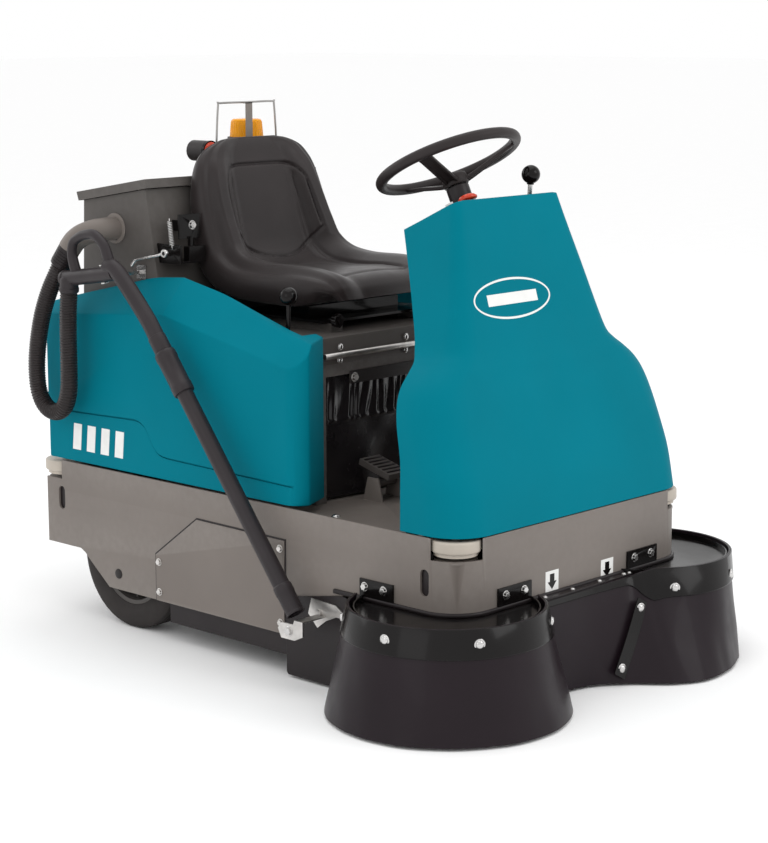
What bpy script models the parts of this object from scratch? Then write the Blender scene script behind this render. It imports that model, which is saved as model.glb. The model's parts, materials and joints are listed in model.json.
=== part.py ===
"""A battery ride-on floor sweeper, built as separate pieces.

Machine axes: +Z up, the machine faces -Y, and the operator's right-hand side is -X.
Every piece is drawn in machine coordinates: x from the centre plane, y back from the front face
of the chassis, z up from the floor. The empty called machine moves all of it at once, so that the
world's origin lies on the floor under the middle of the bounding box.
"""

import math

import bmesh
import bpy
from mathutils import Matrix, Vector

# ---- driving dimensions, in metres ----
PLACEMENT = Vector((0.037847, -0.5860, 0.0))
GAP = 0.0003
SHEET = 0.006

HALF_WIDTH = 0.400
LENGTH = 1.346
FRAME_TOP = 0.383
FRONT_EDGE = 0.223
SIDE_EDGE = 0.095
REAR_EDGE = 0.174
CORNER = 0.090
DECK_TOP = 0.365
DECK_REAR = 0.980

REAR_WHEEL = Vector((0.342, 1.066, 0.170))
FRONT_WHEEL = Vector((0.0, 0.300, 0.125))
BUMPER_RADIUS = 0.054
BUMPER_SPOTS = {
    "front_right": (-0.3425, 0.0575),
    "front_left": (0.3425, 0.0575),
    "rear_right": (-0.3520, 1.3240),
    "rear_left": (0.3520, 1.3240),
}
BUMPER_BOTTOM = 0.3435
BUMPER_TOP = 0.3785

WHEEL_CENTRE = Vector((0.0, 0.386, 1.125))
WHEEL_TILT = math.radians(26.0)
WHEEL_AXIS = Vector((0.0, math.sin(WHEEL_TILT), math.cos(WHEEL_TILT)))
WHEEL_RADIUS = 0.158
RIM_RADIUS = 0.0115

MAIN_BRUSH = Vector((0.0, 0.730, 0.165))
BRUSH_PIVOT = Vector((0.0, 0.532, 0.255))
SIDE_BRUSH = Vector((0.335, 0.080, 0.030))
SIDE_PIVOT = Vector((0.335, 0.300, 0.161))
GUARD_TOP = 0.236
PLATE_TOP = 0.2185

DECK_HINGE = Vector((0.0, 0.5185, 0.7000))
SEAT_DECK_TOP = 0.741
LID_HINGE = Vector((0.0, 1.2790, 1.0270))
BEACON = (0.060, 1.1050)
BEACON_GUARD = (0.020, 1.0620)
PORT = (1.146, 0.952)
PORT_RADIUS = 0.0270
BOX_RIGHT = -0.330
BOX_LEFT = 0.215

# The dash slopes down towards the operator.
DASH_FRONT = (0.2140, 1.0465)
DASH_REAR = (0.3535, 0.9830)
DASH_SLOPE = (DASH_FRONT[1] - DASH_REAR[1]) / (DASH_REAR[0] - DASH_FRONT[0])
DASH_NORMAL = Vector((0.0, DASH_SLOPE, 1.0)).normalized()


def on_dash(x, y):
    return Vector((x, y, DASH_FRONT[1] - (y - DASH_FRONT[0]) * DASH_SLOPE))


STOP_BUTTON = on_dash(-0.090, 0.240)
KEY_SWITCH = on_dash(-0.090, 0.290)
# The three spokes run straight from the rim down to a deep hub; angles in degrees in the wheel's plane.
SPOKE_ANGLES = (22, 142, 262)
SPOKE_STATIONS = [(0.010, 0.0495, 0.0160), (0.050, 0.0375, 0.0160), (0.105, 0.0175, 0.0150),
                  (WHEEL_RADIUS, 0.0010, 0.0150)]
BRUSH_LEVER = Vector((0.136, 0.268, 0.960))
LIFT_LEVER = Vector((-0.3060, 0.5960, 0.5050))
PROP_PIVOT = Vector((-0.3420, 0.9580, 0.9065))

# The wand's centre line, from its floor end up to its grip.
WAND_X = -0.4500
WAND_FOOT = Vector((WAND_X, 0.425, 0.168))
WAND_HEAD = Vector((WAND_X, 0.842, 0.700))
HOSE_RADIUS = 0.0210
ELBOW_END = Vector((-0.4200, 1.2080, 0.9070))
ELBOW_WAY = Vector((-0.200, 0.500, -0.843)).normalized()
# The hose leaves the cuff, hangs in a loop behind the rear wheel and comes up into the wand's handle.
HOSE_ROUTE = [
    tuple(ELBOW_END + ELBOW_WAY * 0.002),
    tuple(ELBOW_END + ELBOW_WAY * 0.026),
    tuple(ELBOW_END + ELBOW_WAY * 0.052),
    (-0.4370, 1.2450, 0.8370),
    (-0.4420, 1.2640, 0.8000),
    (-0.4460, 1.2880, 0.7400),
    (-0.4470, 1.3060, 0.6700),
    (-0.4470, 1.3130, 0.6100),
    (-0.4470, 1.3060, 0.5560),
    (-0.4470, 1.2800, 0.5230),
    (-0.4470, 1.2440, 0.5140),
    (-0.4470, 1.2110, 0.5300),
    (-0.4475, 1.1920, 0.5700),
    (-0.4480, 1.1880, 0.6300),
    (-0.4485, 1.1870, 0.7000),
    (-0.4490, 1.1840, 0.7600),
    (-0.4500, 1.1780, 0.8080),
]


# ---- materials: base colour, roughness, metallic ----
FINISHES = {
    "grey_paint": ((0.235, 0.205, 0.180), 0.45, 0.0),
    "dark_grey_paint": ((0.070, 0.064, 0.060), 0.45, 0.0),
    "teal_moulding": ((0.000, 0.205, 0.260), 0.42, 0.0),
    "black_paint": ((0.012, 0.011, 0.012), 0.22, 0.0),
    "black_rubber": ((0.030, 0.027, 0.029), 0.40, 0.0),
    "tyre_rubber": ((0.035, 0.033, 0.032), 0.70, 0.0),
    "black_plastic": ((0.022, 0.020, 0.020), 0.45, 0.0),
    "black_vinyl": ((0.030, 0.027, 0.027), 0.48, 0.0),
    "cream_nylon": ((0.480, 0.430, 0.370), 0.50, 0.0),
    "zinc": ((0.700, 0.690, 0.660), 0.30, 1.0),
    "chrome": ((0.800, 0.800, 0.800), 0.12, 1.0),
    "amber_lens": ((0.900, 0.380, 0.010), 0.15, 0.0),
    "red_plastic": ((0.650, 0.060, 0.020), 0.35, 0.0),
    "bristle": ((0.040, 0.038, 0.036), 0.80, 0.0),
    "battery_case": ((0.018, 0.018, 0.020), 0.50, 0.0),
    "filter_paper": ((0.620, 0.560, 0.430), 0.85, 0.0),
}


def finish(name):
    found = bpy.data.materials.get(name)
    if found:
        return found
    colour, roughness, metallic = FINISHES[name]
    made = bpy.data.materials.new(name)
    made.use_nodes = True
    shader = made.node_tree.nodes["Principled BSDF"]
    shader.inputs["Base Color"].default_value = (*colour, 1.0)
    shader.inputs["Roughness"].default_value = roughness
    shader.inputs["Metallic"].default_value = metallic
    return made


# ---- shapes: each returns one closed mesh ----
def closed_mesh(bm):
    bmesh.ops.recalc_face_normals(bm, faces=bm.faces)
    if bm.calc_volume(signed=True) < 0.0:
        bmesh.ops.reverse_faces(bm, faces=bm.faces)
    mesh = bpy.data.meshes.new("shape")
    bm.to_mesh(mesh)
    bm.free()
    return mesh


def prism(outline, axis, low, high):
    """An outline pushed along an axis: (y, z) along X, (x, z) along Y, or (x, y) along Z."""
    order = {"X": (2, 0, 1), "Y": (0, 2, 1), "Z": (0, 1, 2)}[axis]
    bm = bmesh.new()
    ends = []
    for level in (low, high):
        ring = []
        for u, v in outline:
            values = (u, v, level)
            ring.append(bm.verts.new([values[k] for k in order]))
        ends.append(ring)
    bm.faces.new(ends[0])
    bm.faces.new(ends[1])
    bridge(bm, ends[0], ends[1])
    return closed_mesh(bm)


def bridge(bm, first, second):
    count = len(first)
    for k in range(count):
        after = (k + 1) % count
        bm.faces.new((first[k], first[after], second[after], second[k]))


def block(low, high):
    outline = [(low[0], low[1]), (high[0], low[1]), (high[0], high[1]), (low[0], high[1])]
    return prism(outline, "Z", low[2], high[2])


def turned(profile, centre, axis, steps=32):
    """A closed profile of (radius, height) points turned about an axis; a radius of 0 is a pole."""
    frame = Vector(axis).to_track_quat("Z", "Y").to_matrix()
    centre = Vector(centre)
    bm = bmesh.new()
    rings = []
    for radius, height in profile:
        if radius <= 0.0:
            rings.append([bm.verts.new(centre + frame @ Vector((0.0, 0.0, height)))])
            continue
        ring = []
        for k in range(steps):
            angle = 2.0 * math.pi * k / steps
            spot = Vector((radius * math.cos(angle), radius * math.sin(angle), height))
            ring.append(bm.verts.new(centre + frame @ spot))
        rings.append(ring)
    pairs = list(zip(rings, rings[1:]))
    if len(rings[0]) > 1 and len(rings[-1]) > 1:
        pairs.append((rings[-1], rings[0]))
    for first, second in pairs:
        if len(first) == 1 and len(second) == 1:
            continue
        if len(first) == 1 or len(second) == 1:
            pole, ring = (first, second) if len(first) == 1 else (second, first)
            for k in range(steps):
                bm.faces.new((pole[0], ring[k], ring[(k + 1) % steps]))
        else:
            bridge(bm, first, second)
    return closed_mesh(bm)


def cylinder(centre, axis, radius, low, high, steps=24):
    return turned([(0.0, low), (radius, low), (radius, high), (0.0, high)], centre, axis, steps)


def pipe(centre, axis, inner, outer, low, high, steps=32):
    return turned([(inner, low), (outer, low), (outer, high), (inner, high)], centre, axis, steps)


def ball(centre, radius, steps=16):
    half = steps // 2
    profile = []
    for k in range(half + 1):
        angle = math.pi * (k / half - 0.5)
        profile.append((max(0.0, radius * math.cos(angle)), radius * math.sin(angle)))
    profile[0] = (0.0, -radius)
    profile[-1] = (0.0, radius)
    return turned(profile, centre, (0.0, 0.0, 1.0), steps)


def smooth_path(points, steps):
    """Points along the Catmull-Rom curve through the given points."""
    spots = [Vector(p) for p in points]
    spots = [2 * spots[0] - spots[1]] + spots + [2 * spots[-1] - spots[-2]]
    path = []
    for k in range(1, len(spots) - 2):
        a, b, c, d = spots[k - 1 : k + 3]
        for s in range(steps):
            t = s / steps
            path.append(
                0.5 * (2 * b + (c - a) * t + (2 * a - 5 * b + 4 * c - d) * t**2
                       + (3 * b - a - 3 * c + d) * t**3)
            )
    path.append(spots[-2])
    return path


def rod(points, radius, sides=10):
    """A round bar with flat ends through the given points; radius may be one value per point."""
    spots = [Vector(p) for p in points]
    radii = radius if isinstance(radius, list) else [radius] * len(spots)
    ways = []
    for k in range(len(spots)):
        before = spots[max(k - 1, 0)]
        after = spots[min(k + 1, len(spots) - 1)]
        ways.append((after - before).normalized())
    side = ways[0].orthogonal().normalized()
    bm = bmesh.new()
    rings = []
    for spot, way, size in zip(spots, ways, radii):
        side = (side - way * side.dot(way)).normalized()
        other = way.cross(side)
        ring = []
        for k in range(sides):
            angle = 2.0 * math.pi * k / sides
            ring.append(bm.verts.new(spot + size * (math.cos(angle) * side + math.sin(angle) * other)))
        rings.append(ring)
    for first, second in zip(rings, rings[1:]):
        bridge(bm, first, second)
    bm.faces.new(rings[0])
    bm.faces.new(rings[-1])
    return closed_mesh(bm)


def hoop(centre, axis, radius, thickness, steps=40, sides=10):
    """A ring of round section."""
    profile = []
    for k in range(sides):
        angle = 2.0 * math.pi * k / sides
        profile.append((radius + thickness * math.cos(angle), thickness * math.sin(angle)))
    return turned(profile, centre, axis, steps)


def strip(rows):
    """A closed wall: each row is one cross-section, a ring of corner points."""
    bm = bmesh.new()
    rings = []
    for row in rows:
        rings.append([bm.verts.new(p) for p in row])
    for first, second in zip(rings, rings[1:]):
        bridge(bm, first, second)
    bm.faces.new(rings[0])
    bm.faces.new(rings[-1])
    return closed_mesh(bm)


def mirrored(mesh):
    """The same shape on the other side of the centre plane."""
    other = mesh.copy()
    other.transform(Matrix.Scale(-1.0, 4, (1.0, 0.0, 0.0)))
    other.flip_normals()
    return other


def combined(shapes, cuts=()):
    """The Boolean union of the shapes, less the cuts."""
    scene = bpy.context.scene.collection
    base = bpy.data.objects.new("work", shapes[0])
    scene.objects.link(base)
    helpers = [base]
    jobs = [("UNION", shape) for shape in shapes[1:]]
    jobs += [("DIFFERENCE", shape) for shape in cuts]
    for operation, shape in jobs:
        helper = bpy.data.objects.new("helper", shape)
        scene.objects.link(helper)
        helpers.append(helper)
        step = base.modifiers.new("step", "BOOLEAN")
        step.operation = operation
        step.solver = "EXACT"
        step.object = helper
    depsgraph = bpy.context.evaluated_depsgraph_get()
    mesh = bpy.data.meshes.new_from_object(base.evaluated_get(depsgraph))
    for helper in helpers:
        bpy.data.objects.remove(helper)
    return mesh


def piece(name, material, shapes, cuts=(), pivot=(0.0, 0.0, 0.0), smooth=True):
    """One named part; its origin is its pivot and its parent is the machine."""
    shapes = shapes if isinstance(shapes, list) else [shapes]
    mesh = combined(shapes, cuts) if len(shapes) > 1 or cuts else shapes[0]
    mesh.name = name
    mesh.transform(Matrix.Translation(-Vector(pivot)))
    mesh.materials.clear()
    mesh.materials.append(finish(material))
    if smooth:
        mesh.shade_smooth()
        mesh.set_sharp_from_angle(angle=math.radians(35.0))
    made = bpy.data.objects.new(name, mesh)
    bpy.context.scene.collection.objects.link(made)
    made.location = pivot
    made.parent = MACHINE
    return made


# ---- chassis ----
def footprint(inset, rear):
    """The chassis seen from above, with round front corners."""
    side = HALF_WIDTH - inset
    radius = CORNER - inset
    outline = [(-side, rear)]
    for k in range(9):
        angle = math.pi + 0.5 * math.pi * k / 8
        outline.append((-side + radius + radius * math.cos(angle), inset + radius + radius * math.sin(angle)))
    outline += [(-x, y) for x, y in reversed(outline)]
    return outline


def chassis():
    wall = prism(footprint(0.0, LENGTH), "Z", SIDE_EDGE, FRAME_TOP)
    hollow = prism(footprint(SHEET, LENGTH + 0.05), "Z", 0.05, 0.45)
    front_clear = prism(
        [(-0.02, 0.05), (0.362, 0.05), (0.346, 0.130), (0.330, FRONT_EDGE), (-0.02, FRONT_EDGE)],
        "X", -0.5, 0.5,
    )
    rear_clear = prism(
        [(1.117, 0.05), (1.117, SIDE_EDGE), (1.191, 0.153), (1.206, 0.166), (1.222, REAR_EDGE),
         (1.420, REAR_EDGE), (1.420, 0.05)],
        "X", -0.5, 0.5,
    )
    slots = []
    for y, low, high in ((0.094, 0.268, 0.303), (1.290, 0.273, 0.307)):
        slots.append(block((-0.5, y - 0.0115, low), (0.5, y + 0.0115, high)))
        for z in (low, high):
            slots.append(cylinder((-0.5, y, z), (1, 0, 0), 0.0115, 0.0, 1.0, 16))
    walls = combined([wall], [hollow, front_clear, rear_clear] + slots)

    deck = prism(footprint(0.004, DECK_REAR), "Z", DECK_TOP - SHEET, DECK_TOP)
    bulkhead = block((-0.396, 0.500, 0.105), (0.396, 0.506, 0.362))
    rear_bar = block((-0.396, 1.232, 0.352), (0.396, 1.256, FRAME_TOP))
    head_tube = cylinder((0.0, 0.300, 0.0), (0, 0, 1), 0.034, 0.335, 0.392)
    added = [deck, bulkhead, rear_bar, head_tube]
    for x, y in BUMPER_SPOTS.values():
        added.append(cylinder((x, y, 0.0), (0, 0, 1), 0.0455, 0.3290, 0.3350, 20))
        added.append(cylinder((x, y, 0.0), (0, 0, 1), 0.0070, 0.3300, 0.3765, 12))
    for side in (-1, 1):
        inner, outer = sorted((side * 0.290, side * 0.396))
        added.append(block((inner, DECK_REAR - 0.002, 0.359), (outer, 1.240, DECK_TOP)))
        inner, outer = sorted((side * 0.290, side * 0.296))
        added.append(block((inner, 1.020, 0.110), (outer, 1.112, 0.362)))
        centre = (side * REAR_WHEEL.x, REAR_WHEEL.y, REAR_WHEEL.z)
        added.append(cylinder(centre, (side, 0, 0), 0.0120, -0.050, 0.040, 16))
    notches = []
    for x, y in BUMPER_SPOTS.values():
        side = 1 if x > 0 else -1
        notches.append(
            combined(
                [cylinder((x, y, 0.0), (0, 0, 1), BUMPER_RADIUS + 0.006, 0.3365, 0.3950, 28)],
                [cylinder((x, y, 0.0), (0, 0, 1), 0.0070, 0.3200, 0.3960, 12)],
            )
        )
    bore = cylinder((0.0, 0.300, 0.0), (0, 0, 1), 0.0212, 0.300, 0.420)
    drawn = combined([walls] + added, notches + [bore])
    ears = pedal_ears()
    piece("main_frame", "grey_paint", [drawn] + ears, smooth=False)


def pedal_ears():
    """Two ears and the pin that carry the drive pedal."""
    ears = []
    for x in (-0.1600, -0.0880):
        ears.append(prism([(0.440, 0.362), (0.500, 0.362), (0.486, 0.418), (0.454, 0.418)], "X", x,
                          x + 0.005))
    ears.append(cylinder((-0.1600, 0.470, 0.4050), (1, 0, 0), 0.0045, 0.001, 0.076, 12))
    return ears


def side_panel():
    """The plate over the main brush, with its four screws."""
    outline = [(0.941, 0.0955), (0.941, 0.206), (0.797, 0.311), (0.509, 0.308), (0.511, 0.0955)]
    face = -HALF_WIDTH - GAP
    shapes = [prism(outline, "X", face - 0.003, face)]
    for y, z in ((0.930, 0.189), (0.930, 0.117), (0.522, 0.289), (0.522, 0.120)):
        shapes.append(cylinder((face - 0.002, y, z), (-1, 0, 0), 0.0065, 0.0, 0.0045, 12))
    piece("access_panel", "grey_paint", shapes, smooth=False)


# ---- moulded covers ----
def cover_form(inset, low):
    """The right cover as a solid: plan shape, sloping roof and chamfered shoulder."""
    side = HALF_WIDTH - inset
    front = 0.463 + inset
    plan = [(-side, 1.334 - inset)]
    radius = 0.045
    for k in range(7):
        angle = math.radians(180 + 78 * k / 6)
        plan.append((-side + radius + radius * math.cos(angle), 0.508 + inset + radius * math.sin(angle)))
    plan += [(-0.285, 0.499 + inset), (-0.285, 0.70), (-0.285, 1.334 - inset)]
    form = prism(plan, "Z", low, 0.95)
    peak = 0.856 - inset
    roof = prism(
        [(0.40, 0.728 - inset), (0.560, 0.765 - inset), (0.830, peak - 0.010), (0.905, peak),
         (0.990, peak - 0.006),
         (1.240, 0.792 - inset), (1.400, 0.752 - inset), (1.400, 1.1), (0.40, 1.1)],
        "X", -0.5, -0.2,
    )
    drop = inset * 1.4
    cuts = [roof]
    for crease in (((1.400, 0.735), (0.905, 0.772)), ((0.905, 0.772), (0.430, 0.678))):
        (y0, z0), (y1, z1) = crease
        if y0 > y1:
            (y0, z0), (y1, z1) = (y1, z1), (y0, z0)
        rise = 0.082
        rows = []
        for y, z in ((y0, z0), (y1, z1)):
            z -= drop
            rows.append([Vector((-0.440, y, z - rise * 0.04 / 0.07)),
                         Vector((-0.250, y, z + rise * 0.15 / 0.07)),
                         Vector((-0.250, y, 1.3)), Vector((-0.440, y, 1.3))])
        cuts.append(strip(rows))
    return combined([form], cuts)


def side_covers():
    outer = cover_form(0.0, 0.388)
    inner = cover_form(0.0045, 0.370)
    open_side = block((-0.330, 0.520, 0.380), (-0.270, 1.3295, 0.90))
    shell = combined([outer], [inner, open_side])
    piece("side_cover_right", "teal_moulding", shell, smooth=False)
    piece("side_cover_left", "teal_moulding", mirrored(shell), smooth=False)


# Shroud stations: height at its front and at its rear edge, half width, front y, rear y, corner radius.
SHROUD = [
    (0.3855, 0.3855, 0.3985, -0.003, 0.165, 0.090),
    (0.4700, 0.4700, 0.3980, 0.014, 0.165, 0.090),
    (0.5400, 0.5350, 0.3960, 0.036, 0.167, 0.092),
    (0.6100, 0.6050, 0.3900, 0.060, 0.182, 0.094),
    (0.6550, 0.6500, 0.3760, 0.076, 0.194, 0.090),
    (0.6850, 0.6800, 0.3560, 0.088, 0.202, 0.085),
    (0.7100, 0.7050, 0.3220, 0.097, 0.212, 0.075),
    (0.7300, 0.7230, 0.2900, 0.105, 0.226, 0.065),
    (0.7520, 0.7400, 0.2650, 0.113, 0.246, 0.055),
    (0.8000, 0.7800, 0.2460, 0.128, 0.264, 0.046),
    (0.9000, 0.8600, 0.2180, 0.158, 0.300, 0.036),
    (1.0000, 0.9400, 0.1900, 0.188, 0.338, 0.028),
    (1.0580, 0.9880, 0.1750, 0.206, 0.360, 0.022),
]


def shroud_outline(station, inset):
    """One level of the shroud, from its right rear edge round the front to its left rear edge."""
    front_z, rear_z, half, front, rear, radius = station
    half -= inset
    front += inset
    radius = min(radius, rear - front - 0.004)
    spots = [(-half, rear)]
    for k in range(6):
        angle = math.pi + 0.5 * math.pi * k / 5
        spots.append((-half + radius + radius * math.cos(angle), front + radius + radius * math.sin(angle)))
    spots += [(-x, y) for x, y in reversed(spots)]
    ring = []
    for x, y in spots:
        share = (y - front) / (rear - front)
        ring.append(Vector((x, y, front_z + (rear_z - front_z) * share)))
    return ring


def front_shroud():
    rows = []
    for station in SHROUD:
        outer = shroud_outline(station, 0.0)
        inner = shroud_outline(station, 0.005)
        rows.append(outer + list(reversed(inner)))
    piece("front_shroud", "teal_moulding", strip(rows))


def dash_panel():
    """The sheet that closes the shroud: the sloping dash, then the kick panel down to the deck."""
    line = [(0.2200, 1.0438, 0.1560), (0.2350, 1.0369, 0.1670), (0.3535, 0.9830, 0.1670)]
    for front_z, rear_z, half, front, rear, radius in reversed(SHROUD[:-1]):
        line.append((rear - 0.0060, rear_z - 0.001, half - 0.0075))
    line[-1] = (0.159, 0.3700, 0.3860)
    rows = []
    for k, (y, z, half) in enumerate(line):
        before = Vector(line[max(k - 1, 0)][:2])
        after = Vector(line[min(k + 1, len(line) - 1)][:2])
        way = (after - before).normalized()
        inward = Vector((way.y, -way.x)) * 0.004
        rows.append([Vector((-half, y, z)), Vector((half, y, z)),
                     Vector((half, y + inward.x, z + inward.y)), Vector((-half, y + inward.x, z + inward.y))])
    sheet = strip(rows)
    hole = cylinder(WHEEL_CENTRE, -WHEEL_AXIS, 0.0260, 0.10, 0.20)
    stop_seat = cylinder(STOP_BUTTON, DASH_NORMAL, 0.0170, -0.006, 0.012)
    stop_bore = cylinder(STOP_BUTTON, DASH_NORMAL, 0.0075, -0.020, 0.030, 16)
    key_bore = cylinder(KEY_SWITCH, DASH_NORMAL, 0.0100, -0.020, 0.030, 16)
    lever_slot = block((0.128, 0.236, 0.90), (0.144, 0.300, 1.10))
    piece("dash_panel", "black_plastic", [sheet, stop_seat],
          [hole, stop_bore, key_bore, lever_slot], smooth=False)


# ---- steering ----
def on_column(distance):
    return WHEEL_CENTRE - WHEEL_AXIS * distance


def steering():
    column = turned([(0.0, 0.060), (0.0150, 0.060), (0.0180, 0.090), (0.0245, 0.118), (0.0245, 0.320),
                     (0.0, 0.320)],
                    WHEEL_CENTRE, -WHEEL_AXIS, 24)
    piece("steering_column", "black_plastic", column)

    shapes = [hoop(WHEEL_CENTRE, WHEEL_AXIS, WHEEL_RADIUS, RIM_RADIUS, 44, 10)]
    shapes.append(turned([(0.0, 0.0320), (0.0250, 0.0320), (0.0290, 0.0370), (0.0285, 0.0585), (0.0, 0.0585)],
                         WHEEL_CENTRE, -WHEEL_AXIS, 24))
    turn = WHEEL_AXIS.to_track_quat("Z", "Y").to_matrix()
    for degrees in SPOKE_ANGLES:
        angle = math.radians(degrees)
        way = turn @ Vector((math.cos(angle), math.sin(angle), 0.0))
        across = WHEEL_AXIS.cross(way)
        rows = []
        for distance, depth, half in SPOKE_STATIONS:
            spot = WHEEL_CENTRE + way * distance - WHEEL_AXIS * depth
            rows.append([spot - across * half, spot + across * half,
                         spot + across * half - WHEEL_AXIS * 0.007,
                         spot - across * half - WHEEL_AXIS * 0.007])
        shapes.append(strip(rows))
    piece("steering_wheel", "black_plastic", shapes, pivot=WHEEL_CENTRE)


def dash_controls():
    mushroom = turned([(0.0, -0.012), (0.0070, -0.012), (0.0070, 0.019), (0.0175, 0.020), (0.0190, 0.026),
                       (0.0150, 0.032), (0.0, 0.034)], STOP_BUTTON, DASH_NORMAL, 24)
    piece("stop_button", "red_plastic", mushroom, pivot=STOP_BUTTON)
    key = [turned([(0.0, -0.014), (0.0096, -0.014), (0.0096, 0.0050), (0.0, 0.0050)], KEY_SWITCH,
                  DASH_NORMAL, 20)]
    across = Vector((1.0, 0.0, 0.0))
    blade = KEY_SWITCH + DASH_NORMAL * 0.004
    along = DASH_NORMAL.cross(across)
    rows = []
    for height, half in ((0.0, 0.004), (0.010, 0.004), (0.013, 0.011), (0.030, 0.011)):
        spot = blade + DASH_NORMAL * height
        rows.append([spot - along * half - across * 0.0012, spot + along * half - across * 0.0012,
                     spot + along * half + across * 0.0012, spot - along * half + across * 0.0012])
    key.append(strip(rows))
    piece("ignition_key", "zinc", key, pivot=KEY_SWITCH)
    tip = BRUSH_LEVER + Vector((0.0, -0.008, 0.136))
    shapes = [rod([BRUSH_LEVER, tip], 0.0042, 10), ball(tip, 0.0200, 16),
              cylinder(BRUSH_LEVER, (1, 0, 0), 0.0110, -0.006, 0.006, 16)]
    piece("side_brush_lever", "black_plastic", shapes, pivot=BRUSH_LEVER)


# ---- wheels ----
def tyre_profile(radius, half, hub, bore):
    """Half width and radii of a moulded tyre on its hub, from bore to tread and back."""
    return [(bore, -half * 0.55), (hub * 0.45, -half * 0.62), (hub * 0.50, -half * 0.30),
            (hub * 0.94, -half * 0.30),
            (hub, -half * 0.82), (radius * 0.80, -half), (radius * 0.95, -half * 0.93),
            (radius, -half * 0.68),
            (radius, half * 0.68), (radius * 0.95, half * 0.93), (radius * 0.80, half), (hub, half * 0.82),
            (hub * 0.94, half * 0.30), (hub * 0.50, half * 0.30), (hub * 0.45, half * 0.62),
            (bore, half * 0.55)]


def wheels():
    for side, name in ((-1, "rear_wheel_right"), (1, "rear_wheel_left")):
        centre = Vector((side * REAR_WHEEL.x, REAR_WHEEL.y, REAR_WHEEL.z))
        profile = tyre_profile(REAR_WHEEL.z, 0.038, 0.112, 0.0125)
        piece(name, "tyre_rubber", turned(profile, centre, (side, 0, 0), 40), pivot=centre)
    profile = tyre_profile(FRONT_WHEEL.z, 0.040, 0.080, 0.0105)
    piece("front_wheel", "tyre_rubber", turned(profile, FRONT_WHEEL, (1, 0, 0), 36), pivot=FRONT_WHEEL)


def steering_fork():
    """The drive fork: a spindle in the head tube, a crown, two legs, the wheel pin and the hub motor."""
    x, y, z = FRONT_WHEEL
    shapes = [
        cylinder((x, y, 0.0), (0, 0, 1), 0.0208, 0.262, 0.430),
        block((-0.058, y - 0.035, 0.262), (0.058, y + 0.035, 0.274)),
        block((-0.058, y - 0.030, z - 0.030), (-0.050, y + 0.030, 0.266)),
        block((0.050, y - 0.030, z - 0.030), (0.058, y + 0.030, 0.266)),
        cylinder((x, y, z), (1, 0, 0), 0.0100, -0.056, 0.056, 16),
        cylinder((x, y, z), (1, 0, 0), 0.0450, 0.054, 0.118, 24),
        pipe((x, y, 0.0), (0, 0, 1), 0.0190, 0.0460, 0.4000, 0.4100, 28),
    ]
    piece("steering_fork", "black_paint", shapes, pivot=(x, y, 0.0))


def bumpers():
    for name, (x, y) in BUMPER_SPOTS.items():
        low, high = BUMPER_BOTTOM, BUMPER_TOP
        profile = [(0.0078, low), (BUMPER_RADIUS - 0.004, low), (BUMPER_RADIUS, low + 0.005),
                   (BUMPER_RADIUS, high - 0.005), (BUMPER_RADIUS - 0.004, high), (0.0078, high)]
        piece("bumper_" + name, "cream_nylon", turned(profile, (x, y, 0.0), (0, 0, 1), 32), pivot=(x, y, 0.0))


# ---- brush guards ----
def skirt(name, top, bottom):
    """A rubber skirt between a top line and a bottom line, drawn with matching points."""
    thickness = 0.004
    levels = 3
    top = smooth_path(top, 3)
    bottom = smooth_path(bottom, 3)
    rows = []
    for k in range(len(top)):
        ahead = min(k + 1, len(top) - 1)
        behind = max(k - 1, 0)
        face = []
        back = []
        for level in range(levels + 1):
            share = level / levels
            way = (top[ahead] - top[behind]).lerp(bottom[ahead] - bottom[behind], share)
            spot = top[k].lerp(bottom[k], share)
            face.append(spot)
            back.append(spot + Vector((way.y, -way.x, 0.0)).normalized() * thickness)
        rows.append(face + list(reversed(back)))
    piece(name, "black_rubber", strip(rows))


def arc(centre, radius, start, end, height, count):
    points = []
    for k in range(count):
        angle = math.radians(start + (end - start) * k / (count - 1))
        points.append((centre[0] + radius * math.cos(angle), centre[1] + radius * math.sin(angle), height))
    return points


def guards():
    low = 0.006
    top = arc((-0.345, 0.080), 0.205, 110, 332, GUARD_TOP, 12)
    bottom = arc((-0.350, 0.072), 0.257, 110, 332, low, 12)
    skirt("guard_skirt_right", top, bottom)

    top = arc((0.330, 0.080), 0.205, 66, -134, GUARD_TOP, 11)
    top += [(0.158, -0.046, 0.228), (0.120, -0.031, 0.2200), (-0.010, -0.024, 0.2180),
            (-0.146, -0.024, 0.2180)]
    bottom = [(0.420, 0.300, low), (0.476, 0.235, low), (0.507, 0.160, low), (0.515, 0.075, low),
              (0.502, -0.010, low),
              (0.468, -0.082, low), (0.420, -0.132, low), (0.362, -0.170, low), (0.300, -0.198, low),
              (0.240, -0.206, low), (0.180, -0.198, low), (0.120, -0.166, low), (0.066, -0.112, low),
              (-0.004, -0.052, low), (-0.104, -0.026, low)]
    skirt("guard_skirt_left", top, bottom)

    for side, name, middle in ((-1, "guard_plate_right", -0.345), (1, "guard_plate_left", 0.330)):
        centre = (middle, 0.080, 0.0)
        low, high = PLATE_TOP - 0.004, PLATE_TOP
        shapes = [turned([(0.0, low), (0.1975, low), (0.1975, high + 0.012), (0.1945, high + 0.012),
                          (0.1945, high),
                          (0.0, high)], centre, (0, 0, 1), 40)]
        inner = prism(footprint(-GAP + 0.0001, 0.45), "Z", high + 0.0002, 0.30)
        shapes += guard_brackets(side)
        piece(name, "black_paint", shapes, [inner], smooth=False)


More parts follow.
